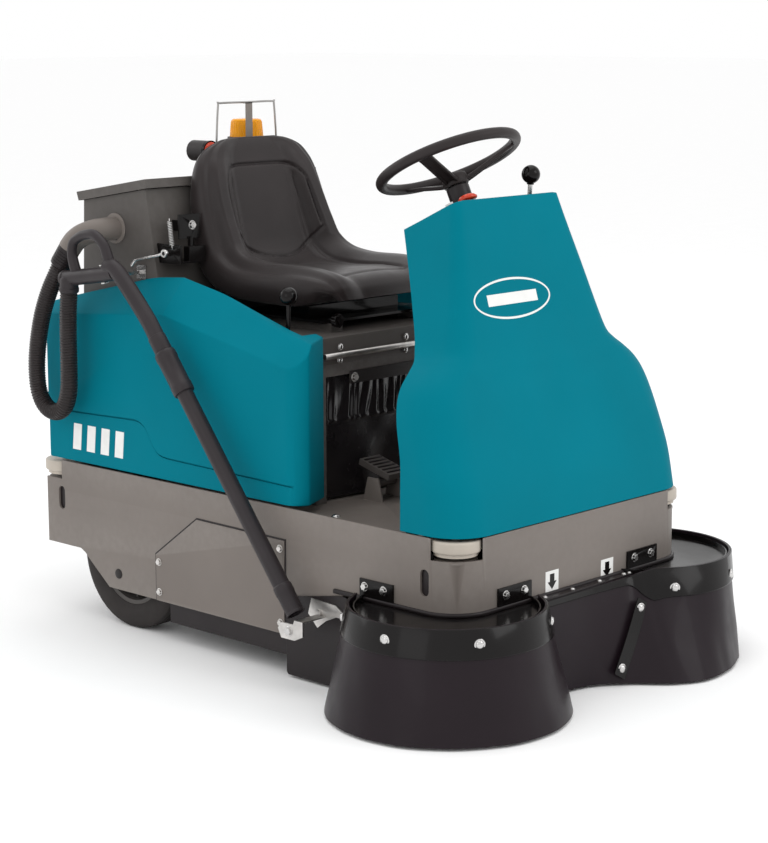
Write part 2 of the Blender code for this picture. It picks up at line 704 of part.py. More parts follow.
def guard_brackets(side):
    """Two angle brackets on the chassis, each with two bolts, that carry a guard plate."""
    shapes = []
    face = HALF_WIDTH + GAP
    low, high = PLATE_TOP - 0.002, 0.266
    outer = sorted((side * face, side * (face + 0.004)))
    shapes.append(block((outer[0], 0.180, low), (outer[1], 0.277, high)))
    for y in (0.207, 0.262):
        shapes.append(cylinder((side * (face + 0.003), y, 0.249), (side, 0, 0), 0.0075, 0.0, 0.0060, 12))
    ends = sorted((side * 0.168, side * 0.277))
    shapes.append(block((ends[0], -0.0043, low), (ends[1], -GAP, high)))
    for x in (0.193, 0.253):
        shapes.append(cylinder((side * x, -0.0035, 0.249), (0, -1, 0), 0.0075, 0.0, 0.0060, 12))
    return shapes


def side_brushes():
    for side, word in ((-1, "right"), (1, "left")):
        middle = side * SIDE_BRUSH.x
        centre = (middle, SIDE_BRUSH.y, 0.0)
        profile = [(0.0, 0.100), (0.070, 0.100), (0.085, 0.092), (0.115, 0.086), (0.166, 0.030),
                   (0.155, 0.026),
                   (0.100, 0.060), (0.060, 0.082), (0.0, 0.082)]
        piece("side_brush_" + word, "bristle", turned(profile, centre, (0, 0, 1), 28),
              pivot=(middle, SIDE_BRUSH.y, SIDE_BRUSH.z))
        arm = [cylinder(centre, (0, 0, 1), 0.0420, 0.1006, 0.1650, 24),
               prism([(SIDE_BRUSH.y - 0.02, 0.150), (SIDE_PIVOT.y + 0.010, 0.150),
                      (SIDE_PIVOT.y + 0.010, 0.172),
                      (SIDE_BRUSH.y - 0.02, 0.172)], "X", middle - 0.014, middle + 0.014),
               cylinder((middle, SIDE_PIVOT.y, SIDE_PIVOT.z), (1, 0, 0), 0.0130, -0.030, 0.030, 16)]
        piece("brush_arm_" + word, "black_paint", arm, pivot=(middle, SIDE_PIVOT.y, SIDE_PIVOT.z))


def side_flaps():
    """Rubber flaps outside the chassis ahead of the main brush, and the skirt round its chamber."""
    face = HALF_WIDTH + GAP
    outline = [(0.352, 0.006), (0.498, 0.006), (0.503, 0.012), (0.503, 0.184), (0.340, 0.214), (0.316, 0.214),
               (0.316, 0.100)]
    flap = prism(outline, "X", -face - 0.004, -face)
    piece("side_flap_right", "black_rubber", flap, smooth=False)
    piece("side_flap_left", "black_rubber", mirrored(flap), smooth=False)
    plan = [(-0.3930, 0.905), (-0.3930, 0.5075), (0.3930, 0.5075), (0.3930, 0.905), (0.3890, 0.905),
            (0.3890, 0.5115), (-0.3890, 0.5115), (-0.3890, 0.905)]
    piece("brush_skirt", "black_rubber", prism(plan, "Z", 0.046, 0.150), smooth=False)


# ---- main brush ----
def main_brush():
    centre = MAIN_BRUSH
    profile = [(0.0, -0.272), (0.022, -0.272), (0.022, -0.300), (0.128, -0.300), (0.132, -0.292),
               (0.132, 0.292),
               (0.128, 0.300), (0.022, 0.300), (0.022, 0.272), (0.0, 0.272)]
    piece("main_brush", "bristle", turned(profile, centre, (1, 0, 0), 36), pivot=centre)
    shapes = [cylinder(BRUSH_PIVOT, (1, 0, 0), 0.0140, -0.318, 0.318, 16)]
    for side in (-1, 1):
        edges = sorted((side * 0.3065, side * 0.3125))
        outline = [(0.518, 0.240), (0.545, 0.270), (0.745, 0.190), (0.758, 0.160), (0.740, 0.138),
                   (0.715, 0.142)]
        shapes.append(prism(outline, "X", edges[0], edges[1]))
        shapes.append(cylinder(centre, (side, 0, 0), 0.0190, 0.276, 0.310, 16))
    shapes.append(cylinder(centre, (1, 0, 0), 0.0480, 0.3100, 0.3780, 24))
    piece("brush_arm", "black_paint", shapes, pivot=BRUSH_PIVOT)

    foot = LIFT_LEVER
    tip = foot + Vector((0.0, -0.010, 0.330))
    shapes = [rod([foot, tip], 0.0050, 10), ball(tip, 0.0205, 16),
              cylinder(foot, (1, 0, 0), 0.0140, -0.008, 0.008, 16)]
    piece("lift_lever", "black_plastic", shapes, pivot=foot)


# ---- hopper ----
def hopper():
    """The dirt bin: open towards the main brush and at its top, with a pull handle at the rear."""
    side = [(0.920, 0.060), (1.000, 0.052), (1.175, 0.190), (1.338, 0.190), (1.338, 0.335), (0.935, 0.335),
            (0.935, 0.200)]
    inner = [(0.900, 0.064), (0.998, 0.056), (1.173, 0.194), (1.334, 0.194), (1.334, 0.360), (0.900, 0.360)]
    outer = prism(side, "X", -0.272, 0.272)
    hollow = prism(inner, "X", -0.268, 0.268)
    handle = rod(smooth_path([(-0.080, 1.336, 0.265), (-0.078, 1.358, 0.265), (-0.060, 1.366, 0.265),
                              (0.060, 1.366, 0.265),
                              (0.078, 1.358, 0.265), (0.080, 1.336, 0.265)], 3), 0.0060, 8)
    piece("hopper", "black_plastic", [outer, handle], [hollow], smooth=False)


# ---- seat deck, seat and batteries ----
def seat_support():
    face = 0.5290
    posts = prism([(-0.283, 0.3840), (0.283, 0.3840), (0.283, 0.6985), (-0.283, 0.6985)], "Y", face,
                  face + 0.003)
    window = prism([(-0.248, 0.3800), (0.248, 0.3800), (0.248, 0.652), (-0.248, 0.652)], "Y", face - 0.01,
                   face + 0.01)
    feet = [block((-0.283, face, 0.3653), (-0.2485, face + 0.025, 0.3860)),
            block((0.2485, face, 0.3653), (0.283, face + 0.025, 0.3860)),
            block((-0.172, face - 0.003, 0.6300), (0.200, face + 0.001, 0.6560))]
    posts = combined([posts], [window])
    bolts = [cylinder((-0.159, face - 0.002, 0.643), (0, -1, 0), 0.0080, 0.0, 0.0070, 12)]
    piece("front_bulkhead", "dark_grey_paint", [posts] + feet + bolts, smooth=False)

    rows = []
    for k in range(33):
        x = -0.2440 + 0.4880 * k / 32
        y = 0.5375 + 0.0030 * math.sin(k * 1.9)
        rows.append([Vector((x, y, 0.3700)), Vector((x, y, 0.6700)), Vector((x, y + 0.003, 0.6700)),
                     Vector((x, y + 0.003, 0.3700))])
    piece("battery_curtain", "black_vinyl", strip(rows))

    tray = [block((-0.287, 0.5560, 0.3660), (0.287, 0.9750, 0.3700)),
            block((-0.287, 0.5560, 0.3660), (-0.283, 0.9750, 0.7280)),
            block((0.283, 0.5560, 0.3660), (0.287, 0.9750, 0.7280)),
            block((-0.287, 0.9720, 0.3660), (0.287, 0.9750, 0.7280))]
    piece("battery_tray", "dark_grey_paint", tray, smooth=False)
    for side, word in ((-1, "right"), (1, "left")):
        middle = side * 0.140
        case = [block((middle - 0.125, 0.580, 0.3704), (middle + 0.125, 0.940, 0.640)),
                block((middle - 0.115, 0.590, 0.639), (middle + 0.115, 0.930, 0.652))]
        for x in (-0.085, 0.085):
            case.append(cylinder((middle + x, 0.620, 0.650), (0, 0, 1), 0.0100, 0.0, 0.020, 12))
        piece("battery_" + word, "battery_case", case, smooth=False)


def seat_deck():
    """The lid over the batteries, hinged along its front edge, with the seat's two runners."""
    z = SEAT_DECK_TOP
    shapes = [block((-0.275, 0.5225, z - 0.004), (0.275, 0.9780, z)),
              block((-0.275, 0.5225, 0.7062), (0.275, 0.5260, z))]
    for x in (-0.150, 0.150):
        shapes.append(block((x - 0.018, 0.590, z - 0.001), (x + 0.018, 0.930, z + 0.018)))
    for x in (-0.210, 0.006):
        shapes.append(cylinder((x, 0.5235, 0.7180), (0, -1, 0), 0.0060, 0.0, 0.0040, 12))
    piece("seat_deck", "grey_paint", shapes, pivot=DECK_HINGE, smooth=False)

    leaf = block((-0.262, 0.5250, 0.6800), (0.262, 0.5287, 0.7045))
    knuckle = cylinder(DECK_HINGE, (1, 0, 0), 0.0055, -0.262, 0.262, 16)
    web = block((-0.262, 0.5200, 0.6975), (0.262, 0.5260, 0.7020))
    rivets = [cylinder((x, 0.5260, 0.6880), (0, -1, 0), 0.0060, 0.0, 0.0040, 12) for x in (-0.210, 0.006)]
    piece("deck_hinge", "zinc", [leaf, web, knuckle] + rivets, smooth=False)


# The seat's middle line from its front lip up to its head: y, z, half width, bolster height, thickness, x.
SEAT_SPINE = [
    (0.566, 0.812, 0.160, 0.004, 0.010, 0.000),
    (0.574, 0.840, 0.192, 0.010, 0.026, 0.000),
    (0.606, 0.858, 0.212, 0.016, 0.052, 0.000),
    (0.680, 0.862, 0.222, 0.022, 0.068, 0.000),
    (0.790, 0.856, 0.224, 0.028, 0.062, 0.000),
    (0.872, 0.862, 0.222, 0.036, 0.062, 0.000),
    (0.926, 0.892, 0.217, 0.042, 0.068, -0.002),
    (0.950, 0.950, 0.212, 0.040, 0.062, -0.008),
    (0.966, 1.020, 0.206, 0.032, 0.051, -0.014),
    (0.977, 1.080, 0.194, 0.024, 0.041, -0.018),
    (0.986, 1.115, 0.178, 0.016, 0.034, -0.018),
    (0.993, 1.140, 0.150, 0.010, 0.026, -0.016),
    (1.001, 1.155, 0.108, 0.004, 0.014, -0.014),
    (1.006, 1.159, 0.076, 0.001, 0.006, -0.014),
]


def seat():
    z = SEAT_DECK_TOP + 0.0185
    pan = [block((-0.185, 0.600, z), (0.185, 0.900, z + 0.006)),
           block((-0.150, 0.680, z), (0.150, 0.760, 0.7890))]
    for x in (-0.165, 0.120):
        pan.append(cylinder((x, 0.601, z + 0.008), (0, -1, 0), 0.0040, 0.0, 0.034, 10))
        pan.append(cylinder((x, 0.601, z + 0.008), (0, -1, 0), 0.0150, 0.022, 0.034, 10))
    piece("seat_pan", "black_paint", pan, smooth=False)

    rows = []
    for k, (y, z, half, rise, depth, middle) in enumerate(SEAT_SPINE):
        before = SEAT_SPINE[max(k - 1, 0)]
        after = SEAT_SPINE[min(k + 1, len(SEAT_SPINE) - 1)]
        way = Vector((after[0] - before[0], after[1] - before[1])).normalized()
        up = Vector((0.0, -way.y, way.x))
        row = []
        for across, lift in ((-0.93, -depth), (0.93, -depth), (1.0, -depth * 0.75), (1.0, rise * 0.1),
                             (0.95, rise * 0.8), (0.84, rise), (0.58, rise * 0.12), (0.0, 0.0),
                             (-0.58, rise * 0.12), (-0.84, rise), (-0.95, rise * 0.8), (-1.0, rise * 0.1),
                             (-1.0, -depth * 0.75)):
            row.append(Vector((middle + half * across, y, z)) + up * lift)
        rows.append(row)
    piece("seat", "black_vinyl", strip(rows))


# ---- filter box, fan, beacon ----
def filter_box():
    outline = [(0.985, 0.3840), (1.290, 0.3840), (1.262, 1.0130), (1.036, 1.0500), (0.990, 0.800)]
    inner = [(0.988, 0.3700), (1.2876, 0.3700), (1.2551, 1.1000), (1.0482, 1.1000), (0.993, 0.800)]
    shell = combined([prism(outline, "X", BOX_RIGHT, BOX_LEFT)], [prism(inner, "X", BOX_RIGHT + 0.003,
                                                                        BOX_LEFT - 0.003)])
    port = cylinder((BOX_RIGHT, *PORT), (-1, 0, 0), PORT_RADIUS + 0.0008, -0.02, 0.02, 24)
    shelf = block((BOX_RIGHT + 0.001, 0.990, 0.4600), (BOX_LEFT - 0.001, 1.2830, 0.4640))
    shelf_hole = block((-0.290, 1.010, 0.440), (0.180, 1.255, 0.480))
    piece("filter_box", "grey_paint", [shell, shelf], [port, shelf_hole], smooth=False)

    # The bracket on the box's front: a plate with its bolt, the angle and pin of the prop rod, and a stop.
    plate = block((-0.290, 0.964, 0.935), (-0.226, 0.970, 0.992))
    plate_foot = block((-0.262, 0.966, 0.950), (-0.254, 1.030, 0.975))
    bolt = cylinder((-0.250, 0.966, 0.966), (0, -1, 0), 0.0080, 0.0, 0.0070, 12)
    web = block((-0.262, 0.958, 0.910), (-0.254, 0.967, 0.940))
    angle = block((-0.318, 0.946, 0.880), (-0.226, 1.016, 0.884))
    angle_side = block((-0.318, 0.930, 0.880), (-0.314, 1.020, 0.925))
    stop = block((-0.276, 0.946, 0.882), (-0.226, 0.966, 0.918))
    pin = cylinder(PROP_PIVOT, (1, 0, 0), 0.0040, -0.004, 0.026, 12)
    box_room = prism([(y - GAP, z) for y, z in outline], "X", BOX_RIGHT, BOX_LEFT)
    piece("rod_bracket", "black_paint", [angle, angle_side, stop, web, plate, plate_foot, bolt, pin],
          [box_room],
          smooth=False)

    roof = [(1.024, 1.0530), (1.272, 1.0115), (1.279, 1.0320), (1.028, 1.0740)]
    lid = prism(roof, "X", BOX_RIGHT - 0.008, BOX_LEFT + 0.008)
    recess = prism([(1.027, 1.0400), (1.2690, 0.9990), (1.276, 1.0290), (1.030, 1.0702)], "X",
                   BOX_RIGHT - 0.0045,
                   BOX_LEFT + 0.0045)
    knuckle = cylinder(LID_HINGE, (1, 0, 0), 0.0050, -0.150, 0.150, 12)
    piece("filter_lid", "grey_paint", [combined([lid], [recess]), knuckle], pivot=LID_HINGE, smooth=False)

    pleats = []
    for k in range(25):
        x = -0.315 + 0.515 * k / 24
        z = 0.4650 + (0.010 if k % 2 else 0.0)
        pleats.append([Vector((x, 1.000, z)), Vector((x, 1.265, z)), Vector((x, 1.265, 0.510)),
                       Vector((x, 1.000, 0.510))])
    piece("panel_filter", "filter_paper", strip(pleats), smooth=False)
    fan = [cylinder((0.100, 1.140, 0.0), (0, 0, 1), 0.085, 0.5110, 0.640, 28),
           cylinder((0.100, 1.140, 0.0), (0, 0, 1), 0.050, 0.630, 0.730, 24)]
    piece("suction_fan", "black_plastic", fan)


def prop_rod():
    """The bent rod on the filter box's right side; it swings on a pin through the grey angle."""
    x = PROP_PIVOT.x
    line = [(x, 0.9648, 0.9050), (x, 0.9900, 0.8985), (x, 1.0400, 0.8890), (x, 1.0620, 0.8830),
            (x, 1.0760, 0.8700)]
    eye = pipe(PROP_PIVOT, (1, 0, 0), 0.0046, 0.0095, -0.004, 0.004, 16)
    bar = rod(smooth_path(line, 2), 0.0035, 8)
    piece("prop_rod", "zinc", [eye, bar], pivot=PROP_PIVOT)


def beacon():
    """The beacon on its bracket over the lid, the wire hoop before it and the marker lamp beside it."""
    x, y = BEACON
    guard_x, guard_y = BEACON_GUARD
    foot = prism([(1.036, 1.0731), (1.126, 1.0580), (1.126, 1.0620), (1.036, 1.0771)], "X", x - 0.100,
                 x + 0.060)
    base = [foot,
            block((x - 0.035, y - 0.018, 1.0665), (x + 0.035, y + 0.020, 1.1350)),
            block((x - 0.020, guard_y - 0.007, 1.1280), (x + 0.020, y + 0.020, 1.1360)),
            block((guard_x - 0.110, guard_y - 0.007, 1.1280), (guard_x + 0.108, guard_y + 0.007, 1.1360)),
            cylinder((x, y, 0.0), (0, 0, 1), 0.0460, 1.1340, 1.1500, 28),
            cylinder((guard_x - 0.126, guard_y + 0.022, 1.1270), (0, -1, 0), 0.0250, -0.030, 0.030, 20)]
    holes = [cylinder((guard_x + side * 0.1000, guard_y, 0.0), (0, 0, 1), 0.0032, 1.10, 1.20,
                      10) for side in (-1, 1)]
    piece("beacon_base", "black_plastic", base, holes, smooth=False)
    lens = turned([(0.0, 1.1503), (0.0420, 1.1503), (0.0385, 1.1920), (0.0340, 1.1970), (0.0, 1.1995)],
                  (x, y, 0.0), (0, 0, 1), 32)
    piece("beacon_lens", "amber_lens", lens)
    line = []
    for across, z in ((-0.1000, 1.1100), (-0.1000, 1.1450), (-0.0930, 1.2340), (-0.0860, 1.2400),
                      (0.0, 1.2400),
                      (0.0860, 1.2400), (0.0930, 1.2340), (0.1000, 1.1450), (0.1000, 1.1100)):
        line.append((guard_x + across, guard_y, z))
    wire = rod(smooth_path(line, 2), 0.0022, 8)
    bar = block((guard_x - 0.0105, guard_y - 0.0105, 1.1280), (guard_x + 0.0105, guard_y - 0.0075, 1.2400))
    cap = block((guard_x - 0.0105, guard_y - 0.0105, 1.2370), (guard_x + 0.0105, guard_y + 0.0010, 1.2400))
    piece("beacon_guard", "zinc", [wire, bar, cap], smooth=False)


# ---- vacuum wand ----
def wand():
    elbow = smooth_path([(BOX_RIGHT + 0.002, *PORT), (-0.360, 1.150, 0.952), (-0.384, 1.160, 0.949),
                         (-0.404, 1.177, 0.940), (-0.4145, 1.193, 0.9265),
                         tuple(ELBOW_END - ELBOW_WAY * 0.004)], 2)
    piece("port_elbow", "grey_paint", rod(elbow + [ELBOW_END], PORT_RADIUS, 20))
    piece("hose_cuff", "black_rubber", pipe(ELBOW_END, ELBOW_WAY, HOSE_RADIUS + 0.0010, HOSE_RADIUS + 0.0055,
                                            0.0004, 0.0500, 24))

    x = WAND_X
    body = rod([(x, 1.194, 0.839), (x, 1.120, 0.850), (x, 1.040, 0.862), (x, 1.010, 0.868)], 0.0185, 14)
    along = (WAND_FOOT - WAND_HEAD).normalized()
    socket_way = Vector(HOSE_ROUTE[-1]) - Vector(HOSE_ROUTE[-2])
    socket = cylinder(HOSE_ROUTE[-1], socket_way, HOSE_RADIUS + 0.002, 0.0010, 0.0400, 20)
    tube = rod(smooth_path([(x, 1.035, 0.882), (x, 1.008, 0.876), (x, 0.968, 0.842),
                            tuple(WAND_HEAD - along * 0.090),
                            tuple(WAND_HEAD - along * 0.030)], 3) + [WAND_HEAD], 0.0190, 16)
    grip = rod(smooth_path([(x, 1.026, 0.882), (x, 1.040, 0.922), (x, 1.078, 0.950), (x, 1.122, 0.944),
                            (x, 1.158, 0.930), (x, 1.160, 0.900), (x, 1.146, 0.856)], 3), 0.0125, 12)
    piece("wand_handle", "black_plastic", [body, socket, tube, grip])

    length = (WAND_FOOT - WAND_HEAD).length
    lower = turned([(0.0, 0.0005), (0.0235, 0.0005), (0.0250, 0.008), (0.0245, 0.108), (0.0190, 0.110),
                    (0.0190, length - 0.070), (0.0215, length - 0.068), (0.0215, length), (0.0, length)],
                   WAND_HEAD, along, 20)
    piece("wand_tube", "black_plastic", lower)

    # A spring clip, open on its outer side.
    mouth = block((WAND_X - 0.030, 1.035, 0.830), (WAND_X - 0.003, 1.070, 0.890))
    ring = pipe((WAND_X, 1.052, 0.8602), (0.0, 0.989, -0.148), 0.0195, 0.0225, -0.006, 0.006, 28)
    ring = combined([ring], [mouth])
    stem = block((WAND_X + 0.0200, 1.047, 0.852), (-0.333, 1.057, 0.860))
    pad = block((-0.3340, 1.036, 0.840), (-0.3303, 1.068, 0.872))
    piece("wand_clip", "zinc", [ring, stem, pad], smooth=False)

    face = -HALF_WIDTH - GAP - 0.0045
    back = prism([(0.305, 0.166), (0.345, 0.192), (0.420, 0.196), (0.430, 0.160), (0.402, 0.132),
                  (0.376, 0.152),
                  (0.345, 0.166)], "X", face - 0.003, face)
    top = block((-0.4790, 0.376, 0.1600), (face, 0.401, 0.1630))
    front = prism([(0.376, 0.130), (0.376, 0.163), (0.401, 0.163), (0.405, 0.1535), (0.441, 0.1525),
                   (0.452, 0.138),
                   (0.442, 0.118), (0.401, 0.118)], "X", -0.4790, -0.4760)
    bolts = [cylinder((face - 0.002, y, z), (-1, 0, 0), 0.0080, 0.0, 0.0070, 12)
             for y, z in ((0.320, 0.170), (0.395, 0.168))]
    bolts.append(cylinder((-0.478, 0.418, 0.136), (-1, 0, 0), 0.0080, 0.0, 0.0060, 12))
    piece("wand_bracket", "zinc", [back, top, front] + bolts, smooth=False)


def hose():
    """The stretch hose: a free curve, laid as one POLY spline."""
    points = smooth_path(HOSE_ROUTE, 3)
    curve = bpy.data.curves.new("hose", "CURVE")
    curve.dimensions = "3D"
    curve.bevel_depth = HOSE_RADIUS
    curve.bevel_resolution = 3
    curve.use_fill_caps = True
    spline = curve.splines.new("POLY")
    spline.points.add(len(points) - 1)
    for slot, point in zip(spline.points, points):
        slot.co = (*point, 1.0)
    curve.materials.append(finish("black_rubber"))
    made = bpy.data.objects.new("hose", curve)
    bpy.context.scene.collection.objects.link(made)
    made.parent = MACHINE


def drive_pedal():
    x = -0.1600 + 0.0400
    pivot = Vector((x, 0.470, 0.4050))
    hub = pipe(pivot, (1, 0, 0), 0.0050, 0.0110, -0.0340, 0.0310, 16)
    pad = prism([(0.428, 0.4165), (0.520, 0.4420), (0.516, 0.4560), (0.424, 0.4305)], "X", x - 0.034,
                x + 0.031)
    web = prism([(0.462, 0.4140), (0.478, 0.4140), (0.482, 0.4340), (0.458, 0.4300)], "X", x - 0.010,
                x + 0.010)
    piece("drive_pedal", "dark_grey_paint", [hub, web, pad], pivot=pivot, smooth=False)


for leftover in list(bpy.data.objects):
    bpy.data.objects.remove(leftover)
MACHINE = bpy.data.objects.new("machine", None)
MACHINE.location = PLACEMENT
bpy.context.scene.collection.objects.link(MACHINE)

chassis()
side_panel()
side_covers()
front_shroud()
dash_panel()
steering()
dash_controls()
steering_fork()
wheels()
bumpers()
guards()
side_brushes()
side_flaps()
main_brush()
hopper()
seat_support()
seat_deck()
seat()
filter_box()
prop_rod()
beacon()
wand()
hose()
drive_pedal()
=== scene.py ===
"""Looks for the ride-on floor sweeper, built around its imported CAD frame.

Machine axes: +Z up, the machine faces -Y, and the operator's right-hand side is -X. Shapes are drawn in
machine coordinates: x from the centre plane, y back from the front face of the chassis, z up from the floor.
ORIGIN carries them into the row frame.
"""

import json
from math import atan2, cos, exp, hypot, pi, radians, sin

import bmesh
import bpy
from mathutils import Matrix, Vector, noise
from mathutils.bvhtree import BVHTree

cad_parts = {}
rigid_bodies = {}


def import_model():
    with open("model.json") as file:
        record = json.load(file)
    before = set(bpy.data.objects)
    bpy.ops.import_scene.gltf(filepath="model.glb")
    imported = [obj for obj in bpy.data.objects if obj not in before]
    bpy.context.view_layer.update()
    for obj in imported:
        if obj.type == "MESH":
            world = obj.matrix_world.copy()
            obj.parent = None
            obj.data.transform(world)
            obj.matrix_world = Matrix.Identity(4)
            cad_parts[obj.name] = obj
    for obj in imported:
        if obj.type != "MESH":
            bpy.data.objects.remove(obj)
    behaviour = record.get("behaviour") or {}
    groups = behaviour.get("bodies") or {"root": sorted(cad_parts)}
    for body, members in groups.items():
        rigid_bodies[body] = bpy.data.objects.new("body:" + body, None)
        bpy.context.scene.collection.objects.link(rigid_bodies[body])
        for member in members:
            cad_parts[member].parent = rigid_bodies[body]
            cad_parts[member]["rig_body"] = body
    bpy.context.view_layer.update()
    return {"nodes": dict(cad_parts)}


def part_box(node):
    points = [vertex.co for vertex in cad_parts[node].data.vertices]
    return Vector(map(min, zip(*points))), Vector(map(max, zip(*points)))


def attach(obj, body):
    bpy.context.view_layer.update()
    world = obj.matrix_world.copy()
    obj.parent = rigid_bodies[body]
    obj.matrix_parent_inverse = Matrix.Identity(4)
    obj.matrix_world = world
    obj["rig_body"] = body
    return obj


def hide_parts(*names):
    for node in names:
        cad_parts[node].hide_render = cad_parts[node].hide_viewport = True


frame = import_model()

# ---- places shared with the frame ----
FRONT_WHEEL = Vector((0.0, 0.3, 0.125))
wheel_low, wheel_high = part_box("front_wheel")
ORIGIN = (wheel_low + wheel_high) / 2 - FRONT_WHEEL

HALF_WIDTH = 0.4
GAP = 0.0003  # clearance between neighbouring solids
FLAP_THICK = 0.0045
BRACKET_THICK = 0.003
GUARD_PLATE_THICK = 0.004
REAR_WHEEL = Vector((0.342, 1.066, 0.17))
BUMPER_RADIUS = 0.054
BUMPER_SPOTS = {"front_right": (-0.3425, 0.0575), "front_left": (0.3425, 0.0575), "rear_right": (-0.352,
        1.324), "rear_left": (0.352, 1.324),}
WHEEL_CENTRE = Vector((0.0, 0.386, 1.125))
WHEEL_TILT = radians(26.0)
WHEEL_AXIS = Vector((0.0, sin(WHEEL_TILT), cos(WHEEL_TILT)))
WHEEL_RADIUS = 0.158
RIM_RADIUS = 0.0115
MAIN_BRUSH = Vector((0.0, 0.73, 0.165))
SIDE_BRUSH = Vector((0.335, 0.08, 0.03))
GUARD_TOP = 0.236
DECK_HINGE = Vector((0.0, 0.5185, 0.7))
SEAT_DECK_TOP = 0.741
BOX_RIGHT = -0.33
DECK_Z = 0.365
PORT = (1.146, 0.952)
PORT_RADIUS = 0.027
WAND_X = -0.45
WAND_FOOT = Vector((WAND_X, 0.425, 0.168))
WAND_HEAD = Vector((WAND_X, 0.842, 0.7))
HOSE_RADIUS = 0.021
ELBOW_END = Vector((-0.42, 1.208, 0.907))
ELBOW_WAY = Vector((-0.2, 0.5, -0.843)).normalized()
HOSE_ROUTE = [tuple(ELBOW_END + ELBOW_WAY * 0.002), tuple(ELBOW_END + ELBOW_WAY * 0.026),
              tuple(ELBOW_END + ELBOW_WAY * 0.052), (-0.437, 1.245, 0.837), (-0.442, 1.264, 0.8),
              (-0.446, 1.288, 0.74), (-0.447, 1.306, 0.67), (-0.447, 1.313, 0.61), (-0.447, 1.306, 0.556),
              (-0.447, 1.28, 0.523), (-0.447, 1.244, 0.514), (-0.447, 1.211, 0.53), (-0.4475, 1.192, 0.57),
              (-0.448, 1.188, 0.63), (-0.4485, 1.187, 0.7), (-0.449, 1.184, 0.76), (-0.45, 1.178, 0.808),]
DASH_SLOPE = (1.0465 - 0.983) / (0.3535 - 0.214)
DASH_NORMAL = Vector((0.0, DASH_SLOPE, 1.0)).normalized()


def on_dash(x, y):
    return Vector((x, y, 1.0465 - (y - 0.214) * DASH_SLOPE))


# ---- camera, light and floor ----
def set_camera():
    azimuth = radians(-46.68)
    elevation = radians(10.43)
    roll = radians(-0.14)
    back = Vector((sin(azimuth) * cos(elevation), -cos(azimuth) * cos(elevation), sin(elevation),))
    right = Vector((0.0, 0.0, 1.0)).cross(back).normalized()
    up = back.cross(right)
    turn = Matrix((right, up, back)).transposed().to_4x4()
    data = bpy.data.cameras.new("camera")
    data.lens = 93.96
    data.sensor_width = 36.0
    camera = bpy.data.objects.new("camera", data)
    place = Matrix.Translation(ORIGIN + Vector((-3.684, -2.889, 1.444)))
    camera.matrix_world = place @ turn @ Matrix.Rotation(roll, 4, "Z")
    bpy.context.scene.collection.objects.link(camera)
    bpy.context.scene.camera = camera


def softbox(name, spot, size, power):
    data = bpy.data.lights.new(name, "AREA")
    data.shape = "RECTANGLE"
    data.size, data.size_y = size
    data.energy = power
    light = bpy.data.objects.new(name, data)
    light.location = spot
    light.rotation_euler = (Vector((0.0, 0.0, 0.55)) - Vector(spot)).to_track_quat("-Z", "Y").to_euler()
    bpy.context.scene.collection.objects.link(light)


def set_stage():
    world = bpy.data.worlds.new("studio")
    world.use_nodes = True
    sky = world.node_tree.nodes["Background"]
    sky.inputs["Color"].default_value = (1.0, 1.0, 1.0, 1.0)
    sky.inputs["Strength"].default_value = 1.0
    bpy.context.scene.world = world
    bpy.context.scene.view_settings.view_transform = "Standard"
    softbox("key", (1.4, -4.4, 3.4), (2.6, 2.2), 38.0)
    softbox("fill", (-4.8, -0.8, 2.2), (2.6, 2.6), 14.0)
    softbox("top", (0.0, 0.3, 4.4), (3.6, 3.6), 40.0)
    softbox("rim", (-1.5, 4.5, 2.6), (3.0, 2.0), 20.0)
    bm = bmesh.new()
    bmesh.ops.create_grid(bm, x_segments=1, y_segments=1, size=60.0)
    floor = bpy.data.objects.new("floor", bpy.data.meshes.new("floor"))
    bm.to_mesh(floor.data)
    bm.free()
    floor.data.materials.append(coated("floor", (0.985, 0.985, 0.985), 0.95, vary=0.005, bump=0.0,
            shine=0.02))
    bpy.context.scene.collection.objects.link(floor)


